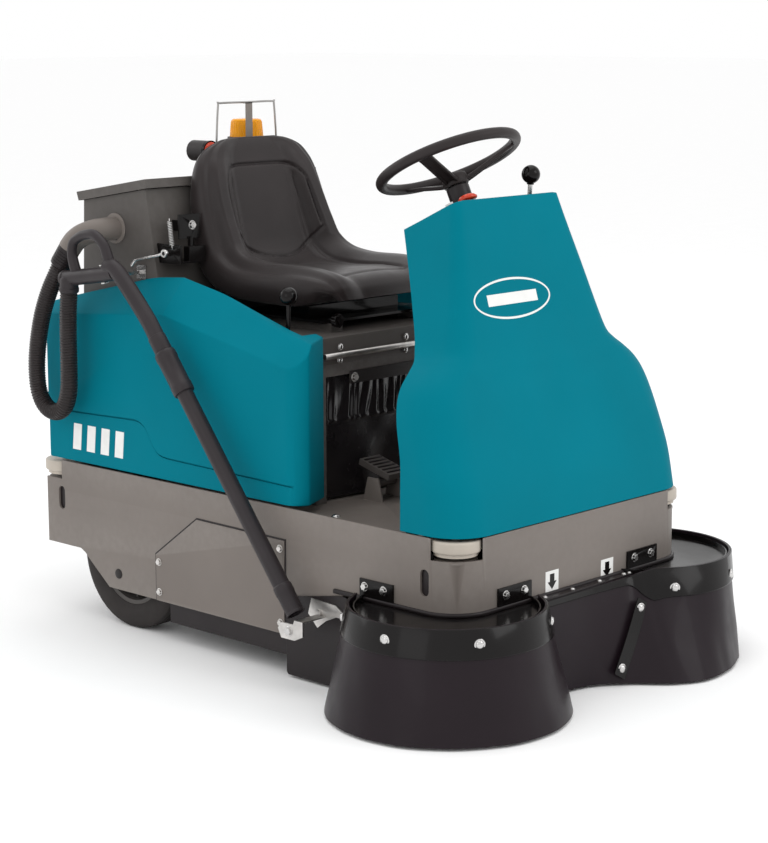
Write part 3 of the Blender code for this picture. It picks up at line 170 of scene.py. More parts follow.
def coated(name, colour, rough, metal=0.0, vary=0.1, patch=7.0, grain=700.0, bump=0.06, depth=0.0006,
           spread=0.1, coat=0.0, wear=None, streak=(1.0, 1.0, 1.0), sheen=0.0, pits=0.0, shine=0.25):
    """A solid material with uneven colour, uneven gloss, surface grain and, where asked, worn edges."""
    made = bpy.data.materials.new("look_" + name)
    made.use_nodes = True
    tree = made.node_tree
    shader = tree.nodes["Principled BSDF"]
    shader.inputs["Metallic"].default_value = metal
    shader.inputs["Specular IOR Level"].default_value = shine
    shader.inputs["Coat Weight"].default_value = coat
    shader.inputs["Coat Roughness"].default_value = 0.08
    shader.inputs["Sheen Weight"].default_value = sheen
    place = tree.nodes.new("ShaderNodeTexCoord")
    stretch = tree.nodes.new("ShaderNodeMapping")
    stretch.inputs["Scale"].default_value = streak
    tree.links.new(place.outputs["Object"], stretch.inputs["Vector"])

    def cloud(scale, detail):
        made_noise = tree.nodes.new("ShaderNodeTexNoise")
        made_noise.inputs["Scale"].default_value = scale
        made_noise.inputs["Detail"].default_value = detail
        tree.links.new(stretch.outputs["Vector"], made_noise.inputs["Vector"])
        return made_noise

    ramp = tree.nodes.new("ShaderNodeValToRGB")
    ramp.color_ramp.elements[0].position = 0.32
    ramp.color_ramp.elements[1].position = 0.7
    for element, factor in zip(ramp.color_ramp.elements, (1.0 - vary, 1.0 + vary)):
        element.color = (*[min(1.0, c * factor) for c in colour], 1.0)
    tree.links.new(cloud(patch, 4.0).outputs["Fac"], ramp.inputs["Fac"])
    base = ramp.outputs["Color"]
    if wear:
        geometry = tree.nodes.new("ShaderNodeNewGeometry")
        edge = tree.nodes.new("ShaderNodeValToRGB")
        edge.color_ramp.elements[0].position = 0.53
        edge.color_ramp.elements[1].position = 0.62
        tree.links.new(geometry.outputs["Pointiness"], edge.inputs["Fac"])
        broken = tree.nodes.new("ShaderNodeMath")
        broken.operation = "MULTIPLY"
        tree.links.new(edge.outputs["Color"], broken.inputs[0])
        tree.links.new(cloud(60.0, 3.0).outputs["Fac"], broken.inputs[1])
        blend = tree.nodes.new("ShaderNodeMix")
        blend.data_type = "RGBA"
        blend.inputs["B"].default_value = (*wear, 1.0)
        tree.links.new(broken.outputs["Value"], blend.inputs["Factor"])
        tree.links.new(base, blend.inputs["A"])
        base = blend.outputs["Result"]
    tree.links.new(base, shader.inputs["Base Color"])
    gloss = tree.nodes.new("ShaderNodeMapRange")
    gloss.inputs["From Min"].default_value = 0.3
    gloss.inputs["From Max"].default_value = 0.7
    gloss.inputs["To Min"].default_value = max(0.02, rough - spread / 2)
    gloss.inputs["To Max"].default_value = rough + spread / 2
    tree.links.new(cloud(patch * 3.1, 5.0).outputs["Fac"], gloss.inputs["Value"])
    tree.links.new(gloss.outputs["Result"], shader.inputs["Roughness"])
    if bump > 0.0:
        relief = tree.nodes.new("ShaderNodeBump")
        relief.inputs["Strength"].default_value = bump
        relief.inputs["Distance"].default_value = depth
        height = cloud(grain, 2.0).outputs["Fac"]
        if pits > 0.0:
            cells = tree.nodes.new("ShaderNodeTexVoronoi")
            cells.inputs["Scale"].default_value = pits
            tree.links.new(stretch.outputs["Vector"], cells.inputs["Vector"])
            both = tree.nodes.new("ShaderNodeMath")
            both.operation = "ADD"
            tree.links.new(height, both.inputs[0])
            tree.links.new(cells.outputs["Distance"], both.inputs[1])
            height = both.outputs["Value"]
        tree.links.new(height, relief.inputs["Height"])
        tree.links.new(relief.outputs["Normal"], shader.inputs["Normal"])
    return made


TEAL = coated("teal_moulding", (0.0, 0.17, 0.228), 0.55, vary=0.05, patch=3.0, grain=900.0, bump=0.05,
              shine=0.03)
GREY = coated("grey_paint", (0.182, 0.158, 0.142), 0.46, vary=0.05, patch=5.0, grain=650.0, bump=0.1,
              wear=(0.33, 0.31, 0.29))
BOX_GREY = coated("box_paint", (0.075, 0.067, 0.062), 0.46, vary=0.05, patch=5.0, grain=650.0, bump=0.1,
                  wear=(0.16, 0.15, 0.14))
DARK_GREY = coated("dark_grey_paint", (0.07, 0.06, 0.056), 0.42, vary=0.08, grain=650.0, bump=0.1,
                   wear=(0.16, 0.15, 0.14))
BLACK = coated("black_paint", (0.006, 0.005, 0.005), 0.2, vary=0.12, grain=500.0, bump=0.05, coat=0.12,
               shine=0.15)
RUBBER = coated("black_rubber", (0.018, 0.014, 0.015), 0.36, vary=0.12, grain=420.0, bump=0.12, spread=0.14)
TYRE = coated("tyre_rubber", (0.028, 0.024, 0.023), 0.72, vary=0.18, patch=12.0, grain=500.0, bump=0.3)
PLASTIC = coated("black_plastic", (0.02, 0.017, 0.017), 0.44, vary=0.1, grain=800.0, bump=0.18, pits=900.0)
GLOSS = coated("gloss_plastic", (0.004, 0.003, 0.003), 0.08, vary=0.1, grain=300.0, bump=0.01, coat=0.1,
               shine=0.15)
VINYL = coated("black_vinyl", (0.021, 0.016, 0.016), 0.38, vary=0.14, patch=9.0, grain=520.0, bump=0.26,
               pits=700.0, sheen=0.05)
CREAM = coated("cream_nylon", (0.48, 0.43, 0.37), 0.42, vary=0.05, patch=14.0, grain=600.0, bump=0.05)
ZINC = coated("zinc", (0.6, 0.58, 0.56), 0.36, metal=1.0, vary=0.16, patch=30.0, grain=900.0, bump=0.06)
CHROME = coated("chrome", (0.6, 0.59, 0.58), 0.24, metal=1.0, vary=0.05, patch=20.0, grain=500.0, bump=0.02)
WIRE = coated("guard_wire", (0.34, 0.33, 0.32), 0.34, metal=1.0, vary=0.12, patch=30.0, grain=700.0,
              bump=0.04)
RED = coated("red_plastic", (0.6, 0.045, 0.012), 0.3, vary=0.06, grain=600.0, bump=0.04, coat=0.3)
WHITE = coated("white_print", (0.8, 0.8, 0.78), 0.45, vary=0.03, patch=40.0, grain=900.0, bump=0.03)
BRISTLE = coated("bristle", (0.045, 0.042, 0.04), 0.62, vary=0.3, patch=40.0, grain=300.0, bump=0.3)
CASE = coated("battery_case", (0.02, 0.02, 0.023), 0.48, vary=0.1, grain=700.0, bump=0.14, pits=500.0)
PAPER = coated("filter_paper", (0.6, 0.54, 0.42), 0.85, vary=0.1, patch=18.0, grain=400.0, bump=0.25)
HOSE_SKIN = coated("hose_skin", (0.02, 0.015, 0.015), 0.34, vary=0.16, patch=20.0, grain=500.0, bump=0.1,
                   sheen=0.05)
WHEEL_RIM = coated("wheel_rim", (0.022, 0.017, 0.017), 0.46, vary=0.1, patch=10.0, grain=650.0, bump=0.22,
                   pits=800.0)
AMBER_PLATE = coated("caution_ring", (0.75, 0.42, 0.02), 0.4, vary=0.06, grain=600.0, bump=0.05)
CURTAIN = coated("curtain_vinyl", (0.014, 0.012, 0.013), 0.24, vary=0.16, patch=12.0, grain=300.0, bump=0.1,
                 coat=0.2)
HANDLE = coated("wand_plastic", (0.026, 0.021, 0.023), 0.4, vary=0.1, patch=12.0, grain=700.0, bump=0.14)
HUB = coated("wheel_hub", (0.075, 0.068, 0.064), 0.4, vary=0.1, grain=600.0, bump=0.1)
SKIRT = coated("skirt_rubber", (0.013, 0.008, 0.011), 0.36, vary=0.1, patch=6.0, grain=300.0, bump=0.05,
               spread=0.1, coat=0.06, shine=0.15)


def amber():
    made = coated("amber_lens", (1.0, 0.4, 0.002), 0.14, vary=0.05, patch=14.0, grain=200.0, bump=0.02,
                  shine=0.15)
    shader = made.node_tree.nodes["Principled BSDF"]
    shader.inputs["Transmission Weight"].default_value = 0.3
    shader.inputs["IOR"].default_value = 1.45
    return made


AMBER = amber()


# ---- shapes: each returns a mesh in machine coordinates ----
def closed_mesh(bm):
    bmesh.ops.recalc_face_normals(bm, faces=bm.faces)
    if bm.calc_volume(signed=True) < 0.0:
        bmesh.ops.reverse_faces(bm, faces=bm.faces)
    mesh = bpy.data.meshes.new("shape")
    bm.to_mesh(mesh)
    bm.free()
    return mesh


def bridge(bm, first, second):
    count = len(first)
    for k in range(count):
        after = (k + 1) % count
        bm.faces.new((first[k], first[after], second[after], second[k]))


def strip(rows, closed=False):
    """A closed wall: each row is one cross-section, a ring of points."""
    bm = bmesh.new()
    rings = []
    for row in rows:
        rings.append([bm.verts.new(p) for p in row])
    for first, second in zip(rings, rings[1:]):
        bridge(bm, first, second)
    if closed:
        bridge(bm, rings[-1], rings[0])
    else:
        bm.faces.new(rings[0])
        bm.faces.new(rings[-1])
    return closed_mesh(bm)


def prism(outline, axis, low, high):
    """An outline pushed along an axis: (y, z) along X, (x, z) along Y, or (x, y) along Z."""
    order = {"X": (2, 0, 1), "Y": (0, 2, 1), "Z": (0, 1, 2)}[axis]
    rows = []
    for level in (low, high):
        rows.append([[(u, v, level)[k] for k in order] for u, v in outline])
    return strip(rows)


def block(low, high):
    outline = [(low[0], low[1]), (high[0], low[1]), (high[0], high[1]), (low[0], high[1])]
    return prism(outline, "Z", low[2], high[2])


def turned(profile, centre, axis, steps=64):
    """A profile of (radius, height) points turned about an axis; a radius of 0 is a pole."""
    facing = Vector(axis).to_track_quat("Z", "Y").to_matrix()
    centre = Vector(centre)
    bm = bmesh.new()
    rings = []
    for radius, height in profile:
        count = steps if radius > 0.0 else 1
        ring = []
        for k in range(count):
            angle = 2.0 * pi * k / steps
            spot = Vector((radius * cos(angle), radius * sin(angle), height))
            ring.append(bm.verts.new(centre + facing @ spot))
        rings.append(ring)
    pairs = list(zip(rings, rings[1:]))
    if len(rings[0]) > 1 and len(rings[-1]) > 1:
        pairs.append((rings[-1], rings[0]))
    for first, second in pairs:
        if len(first) == 1 and len(second) == 1:
            continue
        if len(first) == 1 or len(second) == 1:
            pole, ring = (first, second) if len(first) == 1 else (second, first)
            for k in range(steps):
                bm.faces.new((pole[0], ring[k], ring[(k + 1) % steps]))
        else:
            bridge(bm, first, second)
    return closed_mesh(bm)


def cylinder(centre, axis, radius, low, high, steps=48):
    return turned([(0.0, low), (radius, low), (radius, high), (0.0, high)], centre, axis, steps)


def pipe(centre, axis, inner, outer, low, high, steps=48):
    return turned([(inner, low), (outer, low), (outer, high), (inner, high)], centre, axis, steps)


def ball(centre, radius, steps=32):
    half = steps // 2
    profile = []
    for k in range(half + 1):
        angle = pi * (k / half - 0.5)
        profile.append((max(0.0, radius * cos(angle)), radius * sin(angle)))
    profile[0] = (0.0, -radius)
    profile[-1] = (0.0, radius)
    return turned(profile, centre, (0.0, 0.0, 1.0), steps)


def smooth_path(points, steps):
    """Points along the Catmull-Rom curve through the given points, of any dimension."""
    spots = [Vector(p) for p in points]
    spots = [2 * spots[0] - spots[1]] + spots + [2 * spots[-1] - spots[-2]]
    path = []
    for k in range(1, len(spots) - 2):
        a, b, c, d = spots[k - 1 : k + 3]
        for s in range(steps):
            t = s / steps
            path.append(0.5 * (2 * b + (c - a) * t + (2 * a - 5 * b + 4 * c - d) * t**2 + (3 * b - a - 3 * c
                    + d) * t**3))
    path.append(spots[-2])
    return path


def rod(points, radius, sides=20):
    """A round bar with flat ends through the given points; radius may be one value per point."""
    spots = [Vector(p) for p in points]
    radii = radius if isinstance(radius, list) else [radius] * len(spots)
    rows = []
    side = None
    for k, (spot, size) in enumerate(zip(spots, radii)):
        way = (spots[min(k + 1, len(spots) - 1)] - spots[max(k - 1, 0)]).normalized()
        side = way.orthogonal().normalized() if side is None else (side - way * side.dot(way)).normalized()
        other = way.cross(side)
        row = []
        for s in range(sides):
            angle = 2.0 * pi * s / sides
            row.append(spot + size * (cos(angle) * side + sin(angle) * other))
        rows.append(row)
    return strip(rows)


def mirrored(mesh):
    other = mesh.copy()
    other.transform(Matrix.Scale(-1.0, 4, (1.0, 0.0, 0.0)))
    other.flip_normals()
    return other


def joined(shapes):
    """Several shapes in one mesh, not fused."""
    bm = bmesh.new()
    for shape in shapes:
        bm.from_mesh(shape)
    mesh = bpy.data.meshes.new("shape")
    bm.to_mesh(mesh)
    bm.free()
    return mesh


def applied(obj):
    """The object's mesh with its modifiers; the object is removed."""
    depsgraph = bpy.context.evaluated_depsgraph_get()
    mesh = bpy.data.meshes.new_from_object(obj.evaluated_get(depsgraph))
    bpy.data.objects.remove(obj)
    return mesh


def combined(shapes, cuts=()):
    """The Boolean union of the shapes, less the cuts."""
    scene = bpy.context.scene.collection
    base = bpy.data.objects.new("work", shapes[0])
    scene.objects.link(base)
    helpers = []
    jobs = [("UNION", shape) for shape in shapes[1:]] + [("DIFFERENCE", shape) for shape in cuts]
    for operation, shape in jobs:
        helper = bpy.data.objects.new("helper", shape)
        scene.objects.link(helper)
        helpers.append(helper)
        step = base.modifiers.new("step", "BOOLEAN")
        step.operation = operation
        step.solver = "EXACT"
        step.object = helper
    mesh = applied(base)
    for helper in helpers:
        bpy.data.objects.remove(helper)
    return mesh


def rounded(mesh, width, segments=3, angle=30.0):
    """The mesh with its corners rounded."""
    work = bpy.data.objects.new("work", mesh)
    bpy.context.scene.collection.objects.link(work)
    bevel = work.modifiers.new("bevel", "BEVEL")
    bevel.width = width
    bevel.segments = segments
    bevel.limit_method = "ANGLE"
    bevel.angle_limit = radians(angle)
    return applied(work)


PIECES = {}


def piece(name, mesh, material, body="chassis", stands_for=(), bevel=0.0, segments=2, sharp=35.0):
    """One visible piece, riding on a body of the frame."""
    if isinstance(mesh, list):
        mesh = joined(mesh)
    mesh.name = name
    mesh.transform(Matrix.Translation(ORIGIN))
    mesh.materials.clear()
    mesh.materials.append(material)
    mesh.shade_smooth()
    mesh.set_sharp_from_angle(angle=radians(sharp))
    made = bpy.data.objects.new(name, mesh)
    bpy.context.scene.collection.objects.link(made)
    if bevel:
        soften(made, bevel, segments)
    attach(made, body)
    if stands_for:
        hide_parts(*stands_for)
    PIECES[name] = made
    return made


def soften(obj, width, segments=2, angle=30.0):
    bevel = obj.modifiers.new("bevel", "BEVEL")
    bevel.width = width
    bevel.segments = segments
    bevel.limit_method = "ANGLE"
    bevel.angle_limit = radians(angle)
    bevel.use_clamp_overlap = True
    bevel.harden_normals = True


def refined(node, material, bevel=0.0008):
    """A CAD node's own shape with flat faces merged and every edge eased."""
    mesh = frame["nodes"][node].data.copy()
    bm = bmesh.new()
    bm.from_mesh(mesh)
    bmesh.ops.remove_doubles(bm, verts=bm.verts, dist=0.00001)
    bmesh.ops.dissolve_limit(bm, angle_limit=radians(1.0), verts=bm.verts, edges=bm.edges)
    bm.to_mesh(mesh)
    bm.free()
    mesh.transform(Matrix.Translation(-ORIGIN))
    body = frame["nodes"][node]["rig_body"]
    return piece(node + "_finish", mesh, material, body, (node,), bevel)


# ---- the stage and the hose come first ----
set_camera()
set_stage()


def ribbed_hose():
    """A stretch hose wound from a rib and a skin: its radius rises and falls along a helix."""
    route = smooth_path(HOSE_ROUTE, 3)
    fine = []
    spacing = 0.0013
    left = 0.0
    for a, b in zip(route, route[1:]):
        length = (b - a).length
        reach = left
        while reach < length:
            fine.append(a.lerp(b, reach / length))
            reach += spacing
        left = reach - length
    fine.append(route[-1])
    for _ in range(12):
        fine = [fine[0]] + [(a + 2 * b + c) / 4 for a, b, c in zip(fine, fine[1:], fine[2:])] + [fine[-1]]
    pitch = 0.0066
    sides = 28
    rows = []
    side = None
    for k, spot in enumerate(fine):
        way = (fine[min(k + 1, len(fine) - 1)] - fine[max(k - 1, 0)]).normalized()
        side = way.orthogonal().normalized() if side is None else (side - way * side.dot(way)).normalized()
        other = way.cross(side)
        row = []
        for s in range(sides):
            angle = 2.0 * pi * s / sides
            wave = cos(2.0 * pi * k * spacing / pitch - angle)
            radius = HOSE_RADIUS - 0.0011 + 0.0011 * wave
            row.append(spot + radius * (cos(angle) * side + sin(angle) * other))
        rows.append(row)
    hose = piece("stretch_hose", strip(rows), HOSE_SKIN, "chassis", ("hose",))
    length = sum((b - a).length for a, b in zip(route, route[1:]))


ribbed_hose()


# ---- front shroud ----
# Stations: height at the front and at the rear edge, half width, front y, rear y, corner radius.
SHROUD = [(0.3855, 0.3855, 0.3985, -0.003, 0.165, 0.09), (0.47, 0.47, 0.398, 0.014, 0.165, 0.09),
          (0.54, 0.535, 0.396, 0.036, 0.167, 0.092), (0.61, 0.605, 0.39, 0.06, 0.182, 0.094),
          (0.655, 0.65, 0.376, 0.076, 0.194, 0.09), (0.685, 0.68, 0.356, 0.088, 0.202, 0.085),
          (0.71, 0.705, 0.322, 0.097, 0.212, 0.075), (0.73, 0.723, 0.29, 0.105, 0.226, 0.065),
          (0.752, 0.74, 0.265, 0.113, 0.246, 0.055), (0.8, 0.78, 0.246, 0.128, 0.264, 0.046),
          (0.9, 0.86, 0.218, 0.158, 0.3, 0.036), (1.0, 0.94, 0.19, 0.188, 0.338, 0.028), (1.058, 0.988, 0.175,
        0.206, 0.36, 0.022),]


def shroud_ring(station, inset):
    front_z, rear_z, half, front, rear, radius = station
    half -= inset
    front += inset
    radius = min(radius, rear - front - 0.004)
    spots = [(-half, rear)]
    for k in range(1, 5):
        spots.append((-half, rear + (front + radius - rear) * k / 5))
    for k in range(13):
        angle = pi + 0.5 * pi * k / 12
        spots.append((-half + radius + radius * cos(angle), front + radius + radius * sin(angle)))
    for k in range(1, 7):
        share = k / 6
        spots.append(((-half + radius) * (1.0 - share), front))
    spots += [(-x, y) for x, y in reversed(spots[:-1])]
    ring = []
    for x, y in spots:
        share = (y - front) / (rear - front)
        ring.append(Vector((x, y, front_z + (rear_z - front_z) * share)))
    return ring


def shroud():
    rows = []
    for station in smooth_path(SHROUD, 5):
        outer = shroud_ring(station, 0.0)
        inner = shroud_ring(station, 0.005)
        rows.append(outer + list(reversed(inner)))
    piece("shroud_moulding", strip(rows), TEAL, "chassis", ("front_shroud",), bevel=0.0016, segments=3,
          sharp=50)


# ---- side covers ----
def cover_solid(inset, low):
    """The right cover as a solid: plan shape, sloping roof and chamfered shoulder."""
    side = HALF_WIDTH - inset
    plan = [(-side, 1.334 - inset)]
    radius = 0.045
    for k in range(15):
        angle = radians(180 + 78 * k / 14)
        plan.append((-side + radius + radius * cos(angle), 0.508 + inset + radius * sin(angle)))
    plan += [(-0.285, 0.499 + inset), (-0.285, 0.7), (-0.285, 1.334 - inset)]
    form = prism(plan, "Z", low, 0.95)
    peak = 0.856 - inset
    ridge = [(0.56, 0.765 - inset), (0.7, 0.8065 - inset), (0.83, peak - 0.01), (0.905, peak),
             (0.99, peak - 0.006), (1.12, peak - 0.036), (1.24, 0.792 - inset)]
    line = [(0.4, 0.728 - inset)] + [tuple(p) for p in smooth_path(ridge, 4)] + [(1.4, 0.752 - inset)]
    roof = prism(line + [(1.4, 1.1), (0.4, 1.1)], "X", -0.5, -0.2)
    cuts = [roof]
    for ahead, behind in (((0.905, 0.772), (1.4, 0.735)), ((0.43, 0.678), (0.905, 0.772))):
        rows = []
        for y, z in (ahead, behind):
            z -= inset * 1.4
            rows.append([Vector((-0.44, y, z - 0.0469)), Vector((-0.25, y, z + 0.1757)),
                         Vector((-0.25, y, 1.3)), Vector((-0.44, y, 1.3))])
        cuts.append(strip(rows))
    return combined([form], cuts)


# The foot of each cover steps in below this line, drawn from the rear edge forward.
FOOT_LINE = [(1.345, 0.5045), (1.26, 0.5075), (1.18, 0.5098), (1.11, 0.512), (1.06, 0.5136), (1.03, 0.5146),
             (1.01, 0.5144), (0.994, 0.511), (0.98, 0.503), (0.969, 0.491), (0.959, 0.475), (0.949, 0.46),
             (0.938, 0.449), (0.924, 0.442), (0.904, 0.4388), (0.87, 0.4376), (0.815, 0.4366),
             (0.751, 0.4354), (0.66, 0.4336), (0.571, 0.432), (0.5, 0.4304), (0.44, 0.429)]


def side_covers():
    # One cutter takes away the foot's step and, along its upper edge, a narrow groove.
    rows = []
    line = smooth_path(FOOT_LINE, 3)
    for k, spot in enumerate(line):
        way = (line[max(k - 1, 0)] - line[min(k + 1, len(line) - 1)]).normalized()
        above = spot + Vector((-way.y, way.x)) * 0.0036
        below = spot - Vector((-way.y, way.x)) * 0.001
        rows.append([(-0.42, *above), (-0.393, *above), (-0.393, *below), (-0.3962, *below), (-0.3962, spot.x,
                0.3), (-0.42, spot.x, 0.3)])
    outer = combined([rounded(cover_solid(0.0, 0.388), 0.004, 3, 24.0)], [strip(rows)])
    inner = cover_solid(0.0095, 0.37)
    open_side = block((-0.33, 0.52, 0.38), (-0.27, 1.3295, 0.9))
    shell = combined([outer], [inner, open_side])
    left = mirrored(shell)
    piece("cover_moulding_right", shell, TEAL, "chassis", ("side_cover_right",), sharp=40)
    piece("cover_moulding_left", left, TEAL, "chassis", ("side_cover_left",), sharp=40)


# ---- fastenings ----
def bolt_head(spot, way, size=0.0075, height=0.0045, round_head=False):
    """A washer under a hexagon head, or under a domed head."""
    washer = turned([(0.0, 0.0), (size * 1.25, 0.0), (size * 1.3, 0.0006), (size * 1.22, 0.0012),
                     (0.0, 0.0012)], spot, way, 24)
    if round_head:
        dome = [(0.0, 0.001), (size, 0.001)]
        for k in range(1, 7):
            angle = 0.5 * pi * k / 6
            dome.append((size * cos(angle) if k < 6 else 0.0, 0.0014 + height * sin(angle)))
        return [washer, turned(dome, spot, way, 24)]
    head = turned([(0.0, 0.001), (size * 0.94, 0.001), (size, 0.0016), (size, height),
                   (size * 0.86, height + 0.001), (0.0, height + 0.0012)], spot, way, 6)
    return [washer, head]


def bolts(name, spots, way, size, height, look=None, body="chassis", round_head=False, sharp=60):
    """One piece made of like bolt heads that face the same way."""
    heads = []
    for spot in spots:
        heads += bolt_head(spot, way, size, height, round_head)
    piece(name, heads, look or CHROME, body, sharp=sharp)


def side_panel():
    refined("access_panel", GREY, 0.0006)
    # A thin black strip round the panel is painted shade: it stands for the shadow in the panel's seam as a
    # dark line.
    outline = [(0.9448, 0.0955), (0.9448, 0.2078), (0.7981, 0.3149), (0.5053, 0.3119), (0.5074, 0.0955)]
    piece("panel_seam_shade", prism(outline, "X", -HALF_WIDTH - 0.0011, -HALF_WIDTH - 0.0001), RUBBER)
    spots = [(-HALF_WIDTH - 0.0035, y, z) for y, z in ((0.93, 0.189), (0.93, 0.117), (0.522, 0.289),
            (0.522, 0.12))]
    bolts("panel_screws", spots, (-1, 0, 0), 0.007, 0.0042, ZINC, sharp=30)


# ---- chassis ----
def chassis():
    refined("main_frame", GREY, 0.001)
    # The black rolled lip along the bottom edge of the front and its two corners.
    rows = []
    corner = 0.09
    line = [(-HALF_WIDTH, 0.355)]
    for k in range(13):
        angle = pi + 0.5 * pi * k / 12
        line.append((-HALF_WIDTH + corner + corner * cos(angle), corner + corner * sin(angle)))
    line += [(-x, y) for x, y in reversed(line)]
    spots = [Vector((x, y, 0.2225)) for x, y in line]
    for k, spot in enumerate(spots):
        way = (spots[min(k + 1, len(spots) - 1)] - spots[max(k - 1, 0)]).normalized()
        outward = Vector((way.y, -way.x, 0.0))
        if outward.dot(spot - Vector((0.0, 0.4, 0.2225))) < 0.0:
            outward = -outward
        row = []
        for s in range(14):
            angle = 2.0 * pi * s / 14
            row.append(spot + outward * (0.0022 + 0.0042 * cos(angle)) + Vector((0, 0, 0.0052 * sin(angle))))
        rows.append(row)
    piece("frame_lip", strip(rows), RUBBER, sharp=60)
    # A rubber flange closes the gap between the front lip and the left skirt, held by small rivets.
    flange = block((-0.152, -0.0235, 0.218), (0.165, -0.002, 0.2222))
    piece("front_flange", flange, RUBBER, bevel=0.0008)
    row = ((-0.134, -0.0125), (-0.04, -0.0125), (0.055, -0.0125), (0.14, -0.0145), (0.158, -0.0165))
    bolts("flange_rivets", [(x, y, 0.2222) for x, y in row], (0, 0, 1), 0.005, 0.0026, round_head=True)
    backing = []
    for side in (-1, 1):
        for y, low, high in ((0.094, 0.268, 0.303), (1.29, 0.273, 0.307)):
            edges = sorted((side * 0.3938, side * 0.3922))
            backing.append(rounded(block((edges[0], y - 0.016, low - 0.016), (edges[1], y + 0.016,
                    high + 0.016)), 0.0004, 1))
    piece("slot_backing", backing, RUBBER)
    plug = [(0.0, 0.0), (0.0118, 0.0), (0.0121, 0.0008), (0.0108, 0.0026), (0.007, 0.0036), (0.0, 0.0038)]
    plugs = [turned(plug, (side * HALF_WIDTH, 1.081, 0.134), (side, 0, 0), 40) for side in (-1, 1)]
    piece("frame_plugs", plugs, PLASTIC)


def corner_rollers():
    for name, (x, y) in BUMPER_SPOTS.items():
        low, high = 0.3435, 0.3785
        radius = BUMPER_RADIUS
        rim = low + 0.0085
        profile = [(0.0078, low), (radius - 0.009, low), (radius - 0.007, low + 0.001), (radius - 0.007,
                rim - 0.001), (radius - 0.004, rim)]
        for k in range(1, 5):
            angle = 0.5 * pi * k / 4
            profile.append((radius - 0.004 + 0.004 * sin(angle), rim + 0.005 - 0.005 * cos(angle)))
        for k in range(5):
            angle = 0.5 * pi * k / 4
            profile.append((radius - 0.004 + 0.004 * cos(angle), high - 0.005 + 0.005 * sin(angle)))
        profile += [(0.03, high), (0.028, high - 0.0015), (0.0078, high - 0.0015)]
        roller = turned(profile, (x, y, 0.0), (0, 0, 1), 72)
        piece("roller_" + name, roller, CREAM, "bumper_" + name, ("bumper_" + name,), sharp=40)
        bolts("roller_nut_" + name, [(x, y, 0.377)], (0, 0, 1), 0.0095, 0.006, ZINC, sharp=30)


# ---- steering wheel, column and dash ----
def in_wheel_plane(degrees, distance, depth):
    turn = WHEEL_AXIS.to_track_quat("Z", "Y").to_matrix()
    angle = radians(degrees)
    way = turn @ Vector((cos(angle), sin(angle), 0.0))
    return WHEEL_CENTRE + way * distance - WHEEL_AXIS * depth, way, WHEEL_AXIS.cross(way)


def rounded_bar(spot, across, up, half, thick, corner=0.0022, steps=4):
    """A cross-section with round corners, thick on its underside."""
    ring = []
    for sx, sz, start in ((1, -1, 0.0), (-1, -1, 90.0), (-1, 1, 180.0), (1, 1, 270.0)):
        for k in range(steps + 1):
            angle = radians(start + 90.0 * k / steps)
            x = sx * (half - corner)
            z = sz * (thick / 2 - corner)
            ring.append(spot + across * (x + corner * cos(angle)) - up * (-z + corner * sin(angle)))
    return ring


def steering():
    rim = []
    for k in range(120):
        degrees = 360.0 * k / 120
        spot, way, across = in_wheel_plane(degrees, WHEEL_RADIUS, 0.0)
        row = []
        for s in range(24):
            angle = 2.0 * pi * s / 24
            bump = 0.0007 * (0.5 + 0.5 * cos(4.0 * angle)) * (1.0 if cos(angle) < 0.2 else 0.3)
            radius = RIM_RADIUS + 0.001 - bump
            row.append(spot + way * (radius * cos(angle)) + WHEEL_AXIS * (radius * sin(angle)))
        rim.append(row)
    shapes = [strip(rim, closed=True)]
    for degrees in (22, 142, 262):
        rows = []
        for distance, depth, half in smooth_path([(0.01, 0.0495, 0.0162), (0.05, 0.0375, 0.016),
                (0.105, 0.0175, 0.0152), (WHEEL_RADIUS - 0.002, 0.0012, 0.0165)], 8):
            spot, way, across = in_wheel_plane(degrees, distance, depth + 0.0032)
            rows.append(rounded_bar(spot, across, WHEEL_AXIS, half, 0.0064, 0.0018))
        shapes.append(strip(rows))
        for edge in (-1, 1):
            rib = []
            for distance, depth in smooth_path([(0.022, 0.0525), (0.05, 0.0435), (0.105, 0.0235),
                    (0.15, 0.007)], 6):
                spot, way, across = in_wheel_plane(degrees, distance, depth)
                rib.append(spot + across * edge * 0.0122)
            shapes.append(rod(rib, 0.0034, 12))
    hub = turned([(0.0, 0.031), (0.018, 0.031), (0.0245, 0.0318), (0.0275, 0.0335), (0.029, 0.0365),
                  (0.0294, 0.042), (0.029, 0.056), (0.0275, 0.0585), (0.0, 0.059)], WHEEL_CENTRE, -WHEEL_AXIS,
                 56)
    cap = turned([(0.0, 0.0298), (0.016, 0.0298), (0.017, 0.0306), (0.017, 0.032), (0.0, 0.032)],
                 WHEEL_CENTRE, -WHEEL_AXIS, 56)
    shapes += [hub, cap]
    piece("steering_wheel_finish", shapes, WHEEL_RIM, "steering_wheel", ("steering_wheel",), sharp=35)
    profile = [(0.0, 0.0605), (0.024, 0.0605), (0.0262, 0.0625), (0.0262, 0.094), (0.0252, 0.096),
               (0.0252, 0.112), (0.0262, 0.114), (0.0262, 0.124), (0.0242, 0.1265), (0.0242, 0.319),
               (0.0, 0.319)]
    piece("column_boot", turned(profile, WHEEL_CENTRE, -WHEEL_AXIS, 56), RUBBER, "chassis",
          ("steering_column",), sharp=30)


